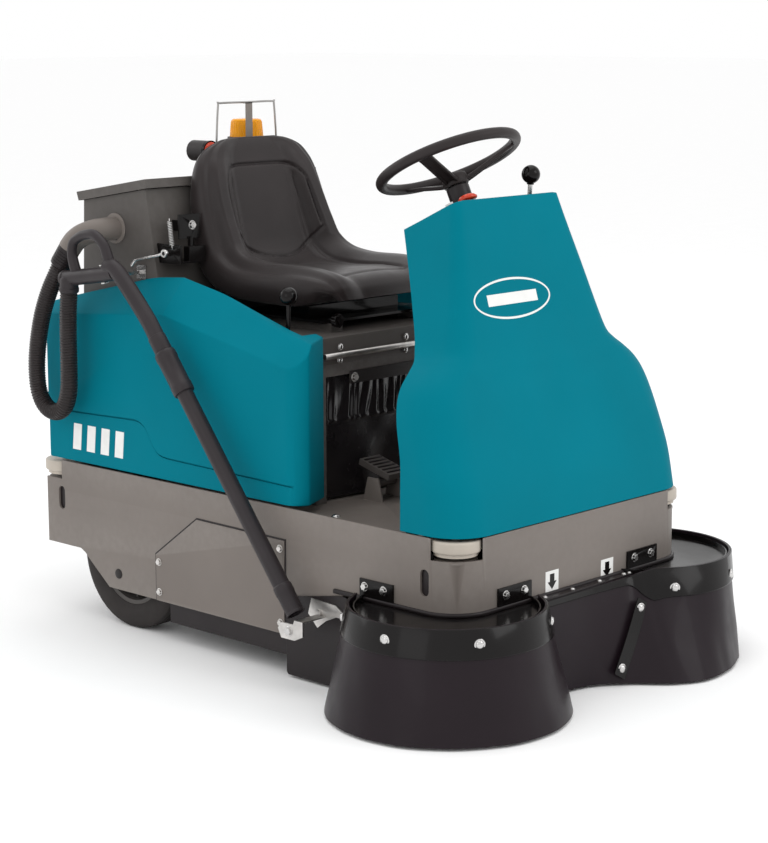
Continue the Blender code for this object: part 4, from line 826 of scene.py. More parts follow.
def dash():
    refined("dash_panel", PLASTIC, 0.0008)
    dome = [(0.0, -0.0115), (0.007, -0.0115), (0.007, 0.019), (0.0185, 0.0193), (0.0212, 0.021),
            (0.0218, 0.0235), (0.0212, 0.0258), (0.019, 0.0268)]
    for k in range(1, 9):
        angle = 0.5 * pi * k / 8
        dome.append((0.0185 * cos(angle) if k < 8 else 0.0, 0.0272 + 0.0058 * sin(angle)))
    stop = on_dash(-0.09, 0.24)
    piece("stop_mushroom", [turned(dome, stop, DASH_NORMAL, 48)], RED, "stop_button", ("stop_button",))
    collar = pipe(stop, DASH_NORMAL, 0.0172, 0.022, 0.001, 0.0045, 48)
    piece("stop_collar", collar, AMBER_PLATE, bevel=0.0005)
    refined("ignition_key", CHROME, 0.0003)
    for name, foot, lean, rise, radius, knob, body in (("brush_lever", Vector((0.136, 0.268, 0.96)), -0.008,
            0.136, 0.0054, 0.0212, "side_brush_lever"), ("lift_lever", Vector((-0.306, 0.596, 0.505)), -0.01,
            0.33, 0.005, 0.0205, "lift_lever"),):
        tip = foot + Vector((0.0, lean, rise))
        way = (tip - foot).normalized()
        shaft = rod([foot, tip - way * knob * 0.8], radius, 20)
        hub = cylinder(foot, (1, 0, 0), 0.012, -0.007, 0.007, 32)
        coat = CHROME if body == "side_brush_lever" else BLACK
        piece(name + "_shaft", [shaft, hub], coat, body, bevel=0.0004)
        neck = turned([(0.0, 0.0), (radius * 1.5, 0.0), (radius * 1.6, knob * 0.3), (0.0, knob * 0.3)],
                      tip - way * knob * 1.05, way, 32)
        piece(name + "_knob", [ball(tip, knob, 48), neck], GLOSS, body, (body,))
    boot = turned([(0.0056, 0.0), (0.013, 0.0), (0.0125, 0.0025), (0.0092, 0.004), (0.0088, 0.0065),
                   (0.0072, 0.008), (0.0056, 0.0085)], on_dash(0.136, 0.2665), DASH_NORMAL, 36)
    piece("brush_lever_boot", boot, RUBBER, "side_brush_lever")


# ---- seat ----
# The seat's middle line from its front lip up to its head: y, z, half width, bolster height, thickness, x.
SEAT_SPINE = [(0.566, 0.812, 0.16, 0.004, 0.01, 0.0), (0.574, 0.84, 0.192, 0.01, 0.026, 0.0), (0.606, 0.858,
        0.212, 0.016, 0.052, 0.0), (0.68, 0.862, 0.222, 0.022, 0.068, 0.0), (0.79, 0.856, 0.224, 0.028, 0.062,
        0.0), (0.872, 0.862, 0.222, 0.036, 0.062, 0.0), (0.926, 0.892, 0.217, 0.042, 0.068, -0.002),
        (0.95, 0.95, 0.212, 0.04, 0.062, -0.008), (0.966, 1.02, 0.206, 0.032, 0.051, -0.014),
        (0.977, 1.08, 0.194, 0.024, 0.041, -0.018), (0.986, 1.115, 0.178, 0.016, 0.034, -0.018),
        (0.993, 1.14, 0.15, 0.01, 0.026, -0.016), (1.001, 1.155, 0.108, 0.004, 0.014, -0.014), (1.006, 1.159,
        0.076, 0.001, 0.006, -0.014),]


def ease(low, high, value):
    share = min(1.0, max(0.0, (value - low) / (high - low)))
    return share * share * (3.0 - 2.0 * share)


def hump(centre, width, value):
    return exp(-(((value - centre) / width) ** 2))


def seat_surface(u, travel, rise, half):
    """How far the cushion's face stands off its middle line, at a share u across and travel along."""
    side = abs(u)
    bolster = rise * ease(0.46, 0.8, side) * (1.0 - 0.8 * ease(0.88, 1.0, side) ** 1.5)
    pan = 1.0 - ease(0.44, 0.52, travel)
    back = ease(0.5, 0.56, travel)
    # Pan: a raised middle pad between two channels, closed by a curved channel at the front.
    channel = -0.0052 * hump(0.57, 0.02, side) * ease(0.1, 0.16, travel) * (1.0 - ease(0.84, 0.87, travel))
    front = -0.0036 * hump(0.125 - 0.03 * u * u, 0.01, travel) * (1.0 - ease(0.54, 0.6, side))
    crown = 0.005 * pan * (1.0 - (u / 0.56) ** 2) * (1.0 - ease(0.5, 0.58, side))
    # Back: a broad panel, straight along its top with round corners, and a smiling seam at its foot.
    arch = travel - (0.9 - 0.06 * (u / 0.72) ** 8)
    smile = travel - (0.65 - 0.092 * (1.0 - (u / 0.72) ** 2))
    inside = 1.0 - ease(0.71, 0.74, side)
    edge = hump(0.72, 0.014, side) * ease(0.0, 0.02, smile) * (1.0 - ease(-0.02, 0.0, arch))
    seams = -0.006 * back * max(inside * hump(0.0, 0.0055, arch), inside * hump(0.0, 0.0055, smile), edge)
    puff = 0.006 * back * (1.0 - (u / 0.72) ** 6 if side < 0.72 else 0.0) * hump(0.76, 0.14, travel)
    return bolster + channel + front + crown + seams + puff


def seat_cushion():
    spine = smooth_path(SEAT_SPINE, 20)
    lengths = [0.0]
    for a, b in zip(spine, spine[1:]):
        lengths.append(lengths[-1] + hypot(b[0] - a[0], b[1] - a[1]))
    rows = []
    across_steps = 130
    edge_steps = 9
    for k, station in enumerate(spine):
        y, z, half, rise, depth, middle = station
        travel = lengths[k] / lengths[-1]
        before = spine[max(k - 1, 0)]
        after = spine[min(k + 1, len(spine) - 1)]
        way = Vector((after[0] - before[0], after[1] - before[1])).normalized()
        up = Vector((0.0, -way.y, way.x))
        round_over = min(0.02, half * 0.12, max(0.003, (depth + rise) * 0.42))
        row = []
        for s in range(across_steps + 1):
            u = -1.0 + 2.0 * s / across_steps
            x = middle + (half - round_over) * u
            lift = seat_surface(u, travel, max(rise, 0.0), half) - 0.0008
            row.append(Vector((x, y, z)) + up * lift)
        side_lift = seat_surface(1.0, travel, rise, half)
        for turn_over in (1, -1):
            for s in range(1, edge_steps):
                angle = pi * s / edge_steps
                middle_lift = (side_lift - depth) / 2
                tall = (side_lift + depth) / 2
                out = round_over * sin(angle) ** 0.8
                lift = middle_lift + turn_over * tall * cos(angle)
                row.append(Vector((middle + turn_over * (half - round_over + out), y, z)) + up * lift)
            if turn_over == 1:
                for s in range(13):
                    u = 1.0 - 2.0 * s / 12
                    row.append(Vector((middle + (half - round_over) * u, y, z)) - up * depth)
        rows.append(row)
    seat = piece("seat_cushion", strip(rows), VINYL, "seat", ("seat",), sharp=70)
    # A welt of piping round the rim of the bucket.
    welt = []
    for side in (-1, 1):
        line = []
        for k in range(13, len(spine), 2):
            y, z, half, rise, depth, middle = spine[k]
            before = spine[max(k - 1, 0)]
            after = spine[min(k + 1, len(spine) - 1)]
            way = Vector((after[0] - before[0], after[1] - before[1])).normalized()
            up = Vector((0.0, -way.y, way.x))
            line.append(Vector((middle + side * (half - 0.0045), y, z)) + up * (-depth * 0.45))
        welt.append(line)
    loop = welt[0] + list(reversed(welt[1]))
    piece("seat_piping", rod(loop, 0.0042, 12), VINYL, "seat", sharp=60)


def seat_support():
    refined("seat_pan", BLACK, 0.0008)
    knobs = []
    for x in (-0.165, 0.12):
        centre = Vector((x, 0.601, SEAT_DECK_TOP + 0.0185 + 0.008))
        rows = []
        for level, size in ((0.02, 0.86), (0.0225, 1.0), (0.032, 1.0), (0.0345, 0.86)):
            row = []
            for s in range(60):
                angle = 2.0 * pi * s / 60
                radius = 0.0152 * size * (1.0 + 0.13 * cos(5 * angle))
                row.append(centre + Vector((radius * cos(angle), -level, radius * sin(angle))))
            rows.append(row)
        knobs += [strip(rows), cylinder(centre, (0, -1, 0), 0.0075, 0.01, 0.0365, 24)]
    piece("seat_knobs", knobs, GLOSS, "seat", bevel=0.0005, sharp=40)
    refined("seat_deck", BOX_GREY, 0.001)
    refined("front_bulkhead", DARK_GREY, 0.001)
    refined("battery_tray", DARK_GREY, 0.001)
    # The hinge: its leaf is painted with the bulkhead, only the barrel is bare.
    refined("deck_hinge", DARK_GREY, 0.0005)
    barrel = turned([(0.0, -0.262), (0.0064, -0.262), (0.0069, -0.2615), (0.0069, 0.2615), (0.0064, 0.262),
                     (0.0, 0.262)], DECK_HINGE, (1, 0, 0), 48)
    piece("hinge_barrel", barrel, ZINC, sharp=50)
    for name, y, z, body in (("hinge_bolts", 0.5221, 0.688, "chassis"), ("deck_bolts", 0.52, 0.718,
            "seat_deck")):
        bolts(name, [(-0.21, y, z), (0.006, y, z)], (0, -1, 0), 0.0062, 0.0034, body=body, round_head=True)
    spots = ((-0.159, 0.5258, 0.643), (0.188, 0.5258, 0.643))
    bolts("bulkhead_bolts", spots, (0, -1, 0), 0.0085, 0.005, ZINC, sharp=40)
    rail = rounded(block((-0.172, 0.5256, 0.629), (0.2, 0.53, 0.658)), 0.0012, 2)
    piece("curtain_rail", rail, PLASTIC)


def curtain():
    """A vinyl curtain: a gathered upper band down to a stitched seam, and a smooth skirt falling below it."""
    columns = 300
    levels = 60
    bm = bmesh.new()
    grid = []
    seam = 0.4
    for level in range(levels + 1):
        share = level / levels
        z = 0.669 - 0.2985 * share
        row = []
        for k in range(columns + 1):
            t = k / columns
            x = -0.244 + 0.488 * t
            drift = noise.noise(Vector((t * 9.0, share * 1.5, 0.0)))
            tight = sin(2.0 * pi * (19.0 * t + 0.9 * drift + 1.2 * share))
            broad = sin(2.0 * pi * (2.6 * t + 0.6 * noise.noise(Vector((t * 3.0, share * 1.2, 3.0)))) + 0.9)
            pleat = ease(0.04, 0.34, share) * (1.0 - ease(seam - 0.012, seam + 0.02, share))
            pleat *= 0.55 + 0.45 * noise.noise(Vector((t * 13.0, 4.0, share)))
            depth = 0.0062 * tight * pleat + 0.005 * broad * ease(seam, 1.0, share)
            depth += 0.002 * noise.noise(Vector((x * 14.0, z * 9.0, 7.0)))
            depth -= 0.004 * hump(seam, 0.012, share)
            y = 0.54 + depth * ease(0.0, 0.1, share)
            row.append(bm.verts.new((x, y, z)))
        grid.append(row)
    for upper, lower in zip(grid, grid[1:]):
        for k in range(columns):
            bm.faces.new((upper[k], lower[k], lower[k + 1], upper[k + 1]))
    bmesh.ops.recalc_face_normals(bm, faces=bm.faces)
    mesh = bpy.data.meshes.new("curtain")
    bm.to_mesh(mesh)
    bm.free()
    sheet = piece("vinyl_curtain", mesh, CURTAIN, "chassis", ("battery_curtain",), sharp=80)
    skin = sheet.modifiers.new("skin", "SOLIDIFY")
    skin.thickness = 0.0012


def batteries():
    for word, middle in (("right", -0.14), ("left", 0.14)):
        refined("battery_" + word, CASE, 0.0012)
        caps = []
        for k in range(6):
            caps.append(turned([(0.0, 0.0), (0.011, 0.0), (0.0115, 0.002), (0.01, 0.005), (0.0, 0.0055)],
                               (middle - 0.08 + 0.032 * k, 0.8, 0.6518), (0, 0, 1), 28))
        piece("cell_caps_" + word, caps, RED)
    lead = [(-0.225, 0.62, 0.672), (-0.225, 0.612, 0.684), (-0.18, 0.602, 0.692), (0.0, 0.6, 0.69),
            (0.18, 0.602, 0.692), (0.225, 0.612, 0.684), (0.225, 0.62, 0.672)]
    piece("battery_link", rod(smooth_path(lead, 5), 0.005, 14), RUBBER)


# ---- filter box, lid, beacon ----
def filter_box():
    refined("filter_box", BOX_GREY, 0.001)
    refined("filter_lid", BOX_GREY, 0.001)
    refined("panel_filter", PAPER, 0.0)
    refined("suction_fan", PLASTIC, 0.0015)
    bolts("plate_bolt", [(-0.25, 0.964, 0.966)], (0, -1, 0), 0.0085, 0.005, sharp=40)
    refined("rod_bracket", BLACK, 0.0006)
    eye = turned([(0.0048, -0.004), (0.0092, -0.004), (0.0098, -0.0028), (0.0098, 0.0028), (0.0092, 0.004),
                  (0.0048, 0.004)], Vector((-0.342, 0.958, 0.9065)), (1, 0, 0), 36)
    x = -0.342
    line = [(x, 0.9648, 0.905), (x, 0.99, 0.8985), (x, 1.04, 0.889), (x, 1.062, 0.883), (x, 1.076, 0.87)]
    piece("prop_rod_finish", [eye, rod(smooth_path(line, 8), 0.0035, 16)], CHROME, "prop_rod", ("prop_rod",))
    # A small return spring beside the rod's bracket.
    top = Vector((-0.32, 0.965, 0.985))
    foot = Vector((-0.325, 0.95, 0.916))
    way = (foot - top).normalized()
    side = way.orthogonal().normalized()
    other = way.cross(side)
    turns = 15
    line = []
    for k in range(turns * 14 + 1):
        share = k / (turns * 14)
        angle = 2.0 * pi * turns * share
        radius = 0.0052
        spot = top.lerp(foot, 0.1 + 0.8 * share)
        line.append(spot + radius * (cos(angle) * side + sin(angle) * other))
    piece("return_spring", rod([top] + line + [foot], 0.001, 8), CHROME, sharp=80)
    knuckles = []
    for k in range(9):
        low = -0.15 + 0.3 * k / 9
        knuckles.append(cylinder(Vector((0.0, 1.279, 1.027)), (1, 0, 0), 0.0052, low + 0.001, low + 0.0323,
                24))
    piece("lid_hinge_knuckles", knuckles, ZINC, "filter_lid", bevel=0.0005)


def beacon():
    x, y = 0.06, 1.105
    guard_x, guard_y = 0.02, 1.062
    refined("beacon_base", PLASTIC, 0.0012)
    profile = [(0.0, 1.1503), (0.042, 1.1503)]
    for k in range(9):
        low = 1.1515 + 0.0045 * k
        radius = 0.042 - 0.0034 * k / 9
        profile += [(radius, low), (radius - 0.0007, low + 0.0022), (radius - 0.0007, low + 0.0028)]
    for k in range(9):
        angle = 0.5 * pi * k / 8
        profile.append((max(0.0, 0.029 + 0.0085 * cos(angle)) if k < 8 else 0.029,
                        1.1915 + 0.0062 * sin(angle)))
    profile += [(0.012, 1.199), (0.0, 1.1994)]
    lens = turned(profile, (x, y, 0.0), (0, 0, 1), 192)
    for vertex in lens.vertices:
        aside = Vector((vertex.co.x - x, vertex.co.y - y, 0.0))
        if aside.length > 0.03 and vertex.co.z < 1.1925:
            rib = 0.001 * abs(cos(16.0 * atan2(aside.y, aside.x)))
            vertex.co -= aside.normalized() * rib
    piece("beacon_lens_finish", lens, AMBER, "filter_lid", ("beacon_lens",), sharp=60)
    inner = turned([(0.0, 1.151), (0.012, 1.151), (0.012, 1.168), (0.018, 1.17), (0.018, 1.182),
                    (0.01, 1.186), (0.0, 1.187)], (x, y, 0.0), (0, 0, 1), 32)
    piece("beacon_lamp", inner, WHITE, "filter_lid")
    ring = turned([(0.0425, 1.1495), (0.047, 1.1495), (0.0474, 1.151), (0.047, 1.1535), (0.0425, 1.154)],
                  (x, y, 0.0), (0, 0, 1), 72)
    piece("beacon_ring", ring, PLASTIC, "filter_lid")
    line = []
    for across, z in ((-0.1, 1.11), (-0.1, 1.145), (-0.093, 1.234), (-0.086, 1.24), (0.0, 1.24),
                      (0.086, 1.24), (0.093, 1.234), (0.1, 1.145), (0.1, 1.11)):
        line.append((guard_x + across, guard_y, z))
    bar = block((guard_x - 0.0105, guard_y - 0.0105, 1.128), (guard_x + 0.0105, guard_y - 0.0075, 1.24))
    cap = block((guard_x - 0.0105, guard_y - 0.0105, 1.237), (guard_x + 0.0105, guard_y + 0.001, 1.24))
    piece("guard_bar", [bar, cap], GREY, "filter_lid", bevel=0.0003)
    piece("beacon_guard_finish", rod(smooth_path(line, 6), 0.0025, 14), WIRE, "filter_lid", ("beacon_guard",))
    lamp = Vector((guard_x - 0.126, guard_y + 0.022, 1.127))
    dome = [(0.0, 0.03), (0.0225, 0.03)]
    for k in range(1, 9):
        angle = 0.5 * pi * k / 8
        dome.append((0.0225 * cos(angle) if k < 8 else 0.0, 0.0305 + 0.005 * sin(angle)))
    piece("marker_lens", turned(dome, lamp, (0, -1, 0), 48), RED, "filter_lid")
    band = pipe(lamp, (0, -1, 0), 0.023, 0.0258, 0.023, 0.032, 48)
    piece("marker_band", band, GLOSS, "filter_lid", bevel=0.0008)


# ---- vacuum wand ----
def wand():
    elbow = smooth_path([(BOX_RIGHT + 0.002, *PORT), (-0.36, 1.15, 0.952), (-0.384, 1.16, 0.949),
                         (-0.404, 1.177, 0.94), (-0.4145, 1.193, 0.9265),
                         tuple(ELBOW_END - ELBOW_WAY * 0.004)], 8)
    flange = turned([(PORT_RADIUS, 0.0), (PORT_RADIUS + 0.009, 0.0), (PORT_RADIUS + 0.01, 0.001),
                     (PORT_RADIUS + 0.0085, 0.0035), (PORT_RADIUS, 0.004)], (BOX_RIGHT - 0.0004, *PORT),
                    (-1, 0, 0), 56)
    piece("elbow_pipe", [rod(elbow + [ELBOW_END], PORT_RADIUS, 40), flange], GREY, "chassis", ("port_elbow",),
          bevel=0.0008)
    profile = [(HOSE_RADIUS + 0.001, 0.0004), (HOSE_RADIUS + 0.0046, 0.0004)]
    for k in range(6):
        low = 0.004 + 0.007 * k
        profile += [(HOSE_RADIUS + 0.0055, low), (HOSE_RADIUS + 0.0055, low + 0.004), (HOSE_RADIUS + 0.0042,
                low + 0.005), (HOSE_RADIUS + 0.0042, low + 0.0062)]
    profile += [(HOSE_RADIUS + 0.005, 0.048), (HOSE_RADIUS + 0.003, 0.05), (HOSE_RADIUS + 0.001, 0.05)]
    piece("hose_cuff_finish", turned(profile, ELBOW_END, ELBOW_WAY, 56), RUBBER, "chassis", ("hose_cuff",),
          sharp=30)

    x = WAND_X
    body = rod(smooth_path([(x, 1.1955, 0.8388), (x, 1.12, 0.85), (x, 1.04, 0.862), (x, 1.009, 0.868)], 6),
               0.0186, 32)
    cap = turned([(0.0, -0.001), (0.015, -0.001), (0.019, 0.002), (0.0204, 0.006), (0.0204, 0.011),
                  (0.0186, 0.013), (0.0, 0.013)], (x, 1.196, 0.8387), (0.0, -0.989, 0.148), 48)
    along = (WAND_FOOT - WAND_HEAD).normalized()
    rise = (Vector(HOSE_ROUTE[-1]) - Vector(HOSE_ROUTE[-2])).normalized()
    socket = turned([(0.0, 0.001), (HOSE_RADIUS + 0.001, 0.001), (HOSE_RADIUS + 0.0026, 0.003),
                     (HOSE_RADIUS + 0.0026, 0.012), (HOSE_RADIUS + 0.001, 0.0135), (HOSE_RADIUS + 0.0014,
            0.033), (HOSE_RADIUS - 0.006, 0.041), (0.0, 0.041)], HOSE_ROUTE[-1], rise, 48)
    knee = smooth_path([(x, 1.035, 0.882), (x, 1.008, 0.876), (x, 0.968, 0.842),
                        tuple(WAND_HEAD - along * 0.09), tuple(WAND_HEAD - along * 0.03)], 8) + [WAND_HEAD]
    knee = rod(knee, 0.019, 36)
    seam = turned([(0.018, -0.042), (0.0202, -0.041), (0.0206, -0.038), (0.0206, -0.002), (0.02, 0.0),
                   (0.018, 0.0)], WAND_HEAD, along, 48)
    path = smooth_path([(x, 1.026, 0.882), (x, 1.034, 0.906), (x, 1.048, 0.93), (x, 1.078, 0.949),
                        (x, 1.11, 0.948), (x, 1.136, 0.94), (x, 1.1565, 0.926), (x, 1.162, 0.9),
                        (x, 1.156, 0.876), (x, 1.146, 0.852)], 6)
    radii = []
    for k in range(len(path)):
        share = k / (len(path) - 1)
        radii.append(0.0118 + 0.0012 * cos(2.0 * pi * share) + 0.0012 * hump(0.45, 0.16, share))
    grip = rod(path, radii, 28)
    piece("wand_handle_finish", [body, cap, socket, knee, seam, grip], HANDLE, "wand", ("wand_handle",),
          bevel=0.0006, sharp=40)
    length = (WAND_FOOT - WAND_HEAD).length
    lower = turned([(0.0, 0.0005), (0.0225, 0.0005), (0.0238, 0.002), (0.025, 0.007), (0.025, 0.02),
                    (0.024, 0.022), (0.024, 0.086), (0.025, 0.088), (0.025, 0.104), (0.0238, 0.109),
                    (0.019, 0.1105), (0.019, length - 0.072), (0.0205, length - 0.07),
                    (0.0216, length - 0.068), (0.0216, length - 0.05), (0.0206, length - 0.048),
                    (0.0206, length - 0.006), (0.0215, length - 0.0045), (0.0215, length), (0.0165, length),
                    (0.016, length - 0.05), (0.0, length - 0.052)], WAND_HEAD, along, 56)
    piece("wand_tube_finish", lower, HANDLE, "wand", ("wand_tube",), bevel=0.0004, sharp=35)
    refined("wand_clip", CHROME, 0.0004)
    refined("wand_bracket", ZINC, 0.0005)
    face = -HALF_WIDTH - GAP - FLAP_THICK - BRACKET_THICK
    heads = bolt_head((face, 0.32, 0.17), (-1, 0, 0), 0.0085, 0.005)
    heads += bolt_head((-0.479, 0.418, 0.136), (-1, 0, 0), 0.0085, 0.0045)
    piece("bracket_bolts", heads, CHROME, sharp=40)


# ---- wheels ----
def wheels():
    for side, name in ((-1, "rear_wheel_right"), (1, "rear_wheel_left")):
        centre = Vector((side * REAR_WHEEL.x, REAR_WHEEL.y, REAR_WHEEL.z))
        wheel(name, centre, (side, 0, 0), REAR_WHEEL.z, 0.038, 0.112, 0.0125)
    wheel("front_wheel", FRONT_WHEEL, (1, 0, 0), FRONT_WHEEL.z, 0.04, 0.08, 0.0105)


def wheel(name, centre, axis, radius, half, hub, bore):
    """A solid tyre with grooved tread on a spoked hub."""
    across = Vector(axis)
    tread = [(hub, -half * 0.82), (hub + 0.004, -half * 0.9), (radius * 0.8, -half), (radius * 0.9,
            -half * 0.985), (radius * 0.955, -half * 0.93), (radius * 0.985, -half * 0.84), (radius - 0.0005,
            -half * 0.72)]
    for share in (-0.62, -0.36, -0.12):
        tread += [(radius, half * share), (radius, half * (share + 0.13)), (radius - 0.0042,
                half * (share + 0.15)), (radius - 0.0042, half * (share + 0.22))]
    other = [(r, -h) for r, h in reversed(tread)]
    tyre = turned(tread + other, centre, axis, 96)
    piece(name + "_tyre", tyre, TYRE, name, (name,), sharp=30)
    shapes = []
    shapes.append(turned([(hub - 0.01, -half * 0.8), (hub - 0.001, -half * 0.84), (hub + 0.001, -half * 0.8),
                          (hub + 0.001, half * 0.8), (hub - 0.001, half * 0.84), (hub - 0.01, half * 0.8),
                          (hub - 0.016, half * 0.3), (hub - 0.016, -half * 0.3)], centre, axis, 96))
    shapes.append(turned([(bore, -half * 0.55), (hub * 0.3, -half * 0.62), (hub * 0.34, -half * 0.5),
                          (hub * 0.34, half * 0.5), (hub * 0.3, half * 0.62), (bore, half * 0.55)], centre,
                         axis, 64))
    shapes.append(turned([(hub * 0.32, -half * 0.1), (hub - 0.012, -half * 0.1), (hub - 0.012, half * 0.1),
                          (hub * 0.32, half * 0.1)], centre, axis, 64))
    facing = across.to_track_quat("Z", "Y").to_matrix()
    for k in range(8):
        angle = 2.0 * pi * k / 8
        way = facing @ Vector((cos(angle), sin(angle), 0.0))
        beside = across.cross(way).normalized()
        rows = []
        for reach, tall, wide in ((hub * 0.3, half * 0.5, 0.005), (hub * 0.6, half * 0.36, 0.004),
                (hub - 0.011, half * 0.42, 0.0042)):
            spot = centre + way * reach
            rows.append([spot + beside * wide * 0.6 + across * tall, spot + beside * wide + across * tall
                         * 0.8, spot + beside * wide - across * tall * 0.8, spot + beside * wide * 0.6
                         - across * tall, spot - beside * wide * 0.6 - across * tall,
                         spot - beside * wide - across * tall * 0.8, spot - beside * wide + across * tall
                         * 0.8, spot - beside * wide * 0.6 + across * tall])
        shapes.append(strip(rows))
    piece(name + "_hub", shapes, HUB, name, bevel=0.0006, sharp=40)
    nut = turned([(bore, half * 0.55), (bore * 1.7, half * 0.55), (bore * 1.7, half * 0.75),
                  (bore * 1.5, half * 0.8), (bore, half * 0.8)], centre, axis, 6)
    piece(name + "_nut", nut, ZINC, name, bevel=0.0005, sharp=30)


# ---- brush guards ----
def arc(centre, radius, start, end, height, count):
    points = []
    for k in range(count):
        angle = radians(start + (end - start) * k / (count - 1))
        points.append((centre[0] + radius * cos(angle), centre[1] + radius * sin(angle), height))
    return points


def skirt_lines():
    low = 0.006
    right_top = arc((-0.345, 0.08), 0.205, 110, 332, GUARD_TOP, 12)
    right_bottom = arc((-0.35, 0.072), 0.257, 110, 332, low, 12)
    left_top = arc((0.33, 0.08), 0.205, 66, -134, GUARD_TOP, 11)
    left_top += [(0.158, -0.046, 0.228), (0.12, -0.031, 0.22), (-0.01, -0.024, 0.218), (-0.146, -0.024,
            0.218)]
    left_bottom = [(0.42, 0.3, low), (0.476, 0.235, low), (0.507, 0.16, low), (0.515, 0.075, low),
                   (0.502, -0.01, low), (0.468, -0.082, low), (0.42, -0.132, low), (0.362, -0.17, low),
                   (0.3, -0.198, low), (0.24, -0.206, low), (0.18, -0.198, low), (0.12, -0.166, low),
                   (0.066, -0.112, low), (-0.004, -0.052, low), (-0.104, -0.026, low)]
    return ((("right"), right_top, right_bottom), (("left"), left_top, left_bottom))


def skirts():
    thickness = 0.004
    levels = 26
    for word, top, bottom in skirt_lines():
        top = smooth_path(top, 10)
        bottom = smooth_path(bottom, 10)
        rows = []
        for k in range(len(top)):
            ahead = min(k + 1, len(top) - 1)
            behind = max(k - 1, 0)
            face = []
            back = []
            for level in range(levels + 1):
                share = level / levels
                way = (top[ahead] - top[behind]).lerp(bottom[ahead] - bottom[behind], share)
                aside = Vector((way.y, -way.x, 0.0)).normalized()
                spot = top[k].lerp(bottom[k], share)
                ripple = noise.noise(Vector((k * 0.055, share * 1.3, 2.0 if word == "left" else 5.0)))
                ripple += 0.35 * noise.noise(Vector((k * 0.16, share * 2.2, 9.0)))
                spot = spot + aside * (0.0052 * ripple * ease(0.08, 0.9, share))
                if level == levels:
                    spot.z = bottom[k].z
                face.append(spot)
                back.append(spot + aside * thickness)
            rows.append(face + list(reversed(back)))
        piece("skirt_" + word, strip(rows), SKIRT, "chassis", ("guard_skirt_" + word,), bevel=0.0009,
              sharp=50)
        # The broad clamp band that holds the skirt to its plate's rim, with its screws.
        outside = 1.0 if word == "right" else -1.0

        def on_skirt(k, drop, out):
            way = top[min(k + 1, len(top) - 1)] - top[max(k - 1, 0)]
            aside = Vector((way.y, -way.x, 0.0)).normalized() * outside
            slope = (bottom[k] - top[k]) / (top[k].z - bottom[k].z)
            return top[k] + slope * drop + aside * (out + (thickness if outside > 0 else 0.0)), aside

        band = []
        for k in range(len(top)):
            tall = min(0.06, 0.06 - 0.045 * ease(0.232, 0.219, top[k].z)) if word == "left" else 0.06
            row = []
            for drop, out in ((0.0002, 0.0004), (0.0002, 0.0026), (0.0014, 0.0034), (tall - 0.0014, 0.0034),
                              (tall, 0.0026), (tall, 0.0004)):
                row.append(on_skirt(k, drop, out)[0])
            band.append(row)
        screws = []
        places = (12, 38, 64, 96) if word == "right" else (14, 40, 68, 96)
        for k in places:
            spot, aside = on_skirt(k, 0.03 if word == "right" else 0.042, 0.0034)
            screws += bolt_head(spot, aside, 0.009, 0.005, True)
        if word == "left":
            # A flat strap that ties a fold of the skirt, bolted at both ends.
            first, aside = on_skirt(116, 0.064, 0.0)
            last, aside_low = on_skirt(124, 0.179, 0.0)
            run = last - first
            face = (aside + aside_low).normalized()
            flat = run.cross(face).normalized()
            rows = []
            for share in (-0.13, -0.11, 0.0, 0.25, 0.5, 0.75, 1.0, 1.11, 1.13):
                wide = 0.0168 if -0.12 < share < 1.12 else 0.015
                lift = 0.0085 + 0.002 * sin(pi * min(1.0, max(0.0, share)))
                spot = first + run * share + face * lift
                rows.append([spot + flat * wide, spot + flat * wide + face * 0.0025, spot - flat * wide + face
                             * 0.0025, spot - flat * wide])
            piece("skirt_strap", strip(rows), BLACK, bevel=0.0004, sharp=50)
            for spot in (first, last):
                screws += bolt_head(spot + face * 0.0105, face, 0.009, 0.005, True)
        piece("clamp_band_" + word, strip(band), BLACK, bevel=0.0005, sharp=50)
        piece("clamp_screws_" + word, screws, CHROME, sharp=60)


def guard_plates():
    for side, word in ((-1, "right"), (1, "left")):
        refined("guard_plate_" + word, BLACK, 0.0006)
        heads = []
        face = HALF_WIDTH + GAP + GUARD_PLATE_THICK
        for y in (0.207, 0.262):
            heads += bolt_head((side * face, y, 0.249), (side, 0, 0), 0.008, 0.0048)
        for x in (0.193, 0.253):
            heads += bolt_head((side * x, -0.0043, 0.249), (0, -1, 0), 0.008, 0.0048)
        piece("guard_bolts_" + word, heads, CHROME, sharp=40)


def flaps():
    for name in ("side_flap_right", "side_flap_left", "brush_skirt"):
        refined(name, RUBBER, 0.0008)


# ---- brushes ----
def tuft(root, tip, radius, spread):
    """A bundle of bristles: narrow at its root, opening towards its tip."""
    way = (tip - root)
    rows = []
    for share, size in ((0.0, 1.0), (0.5, 1.0 + spread * 0.4), (1.0, 1.0 + spread)):
        side = way.orthogonal().normalized()
        other = way.normalized().cross(side)
        sag = Vector((0.0, 0.0, -0.004 * share * share))
        row = []
        for s in range(7):
            angle = 2.0 * pi * s / 7
            row.append(root + way * share + sag + radius * size * (cos(angle) * side + sin(angle) * other))
        rows.append(row)
    return strip(rows)


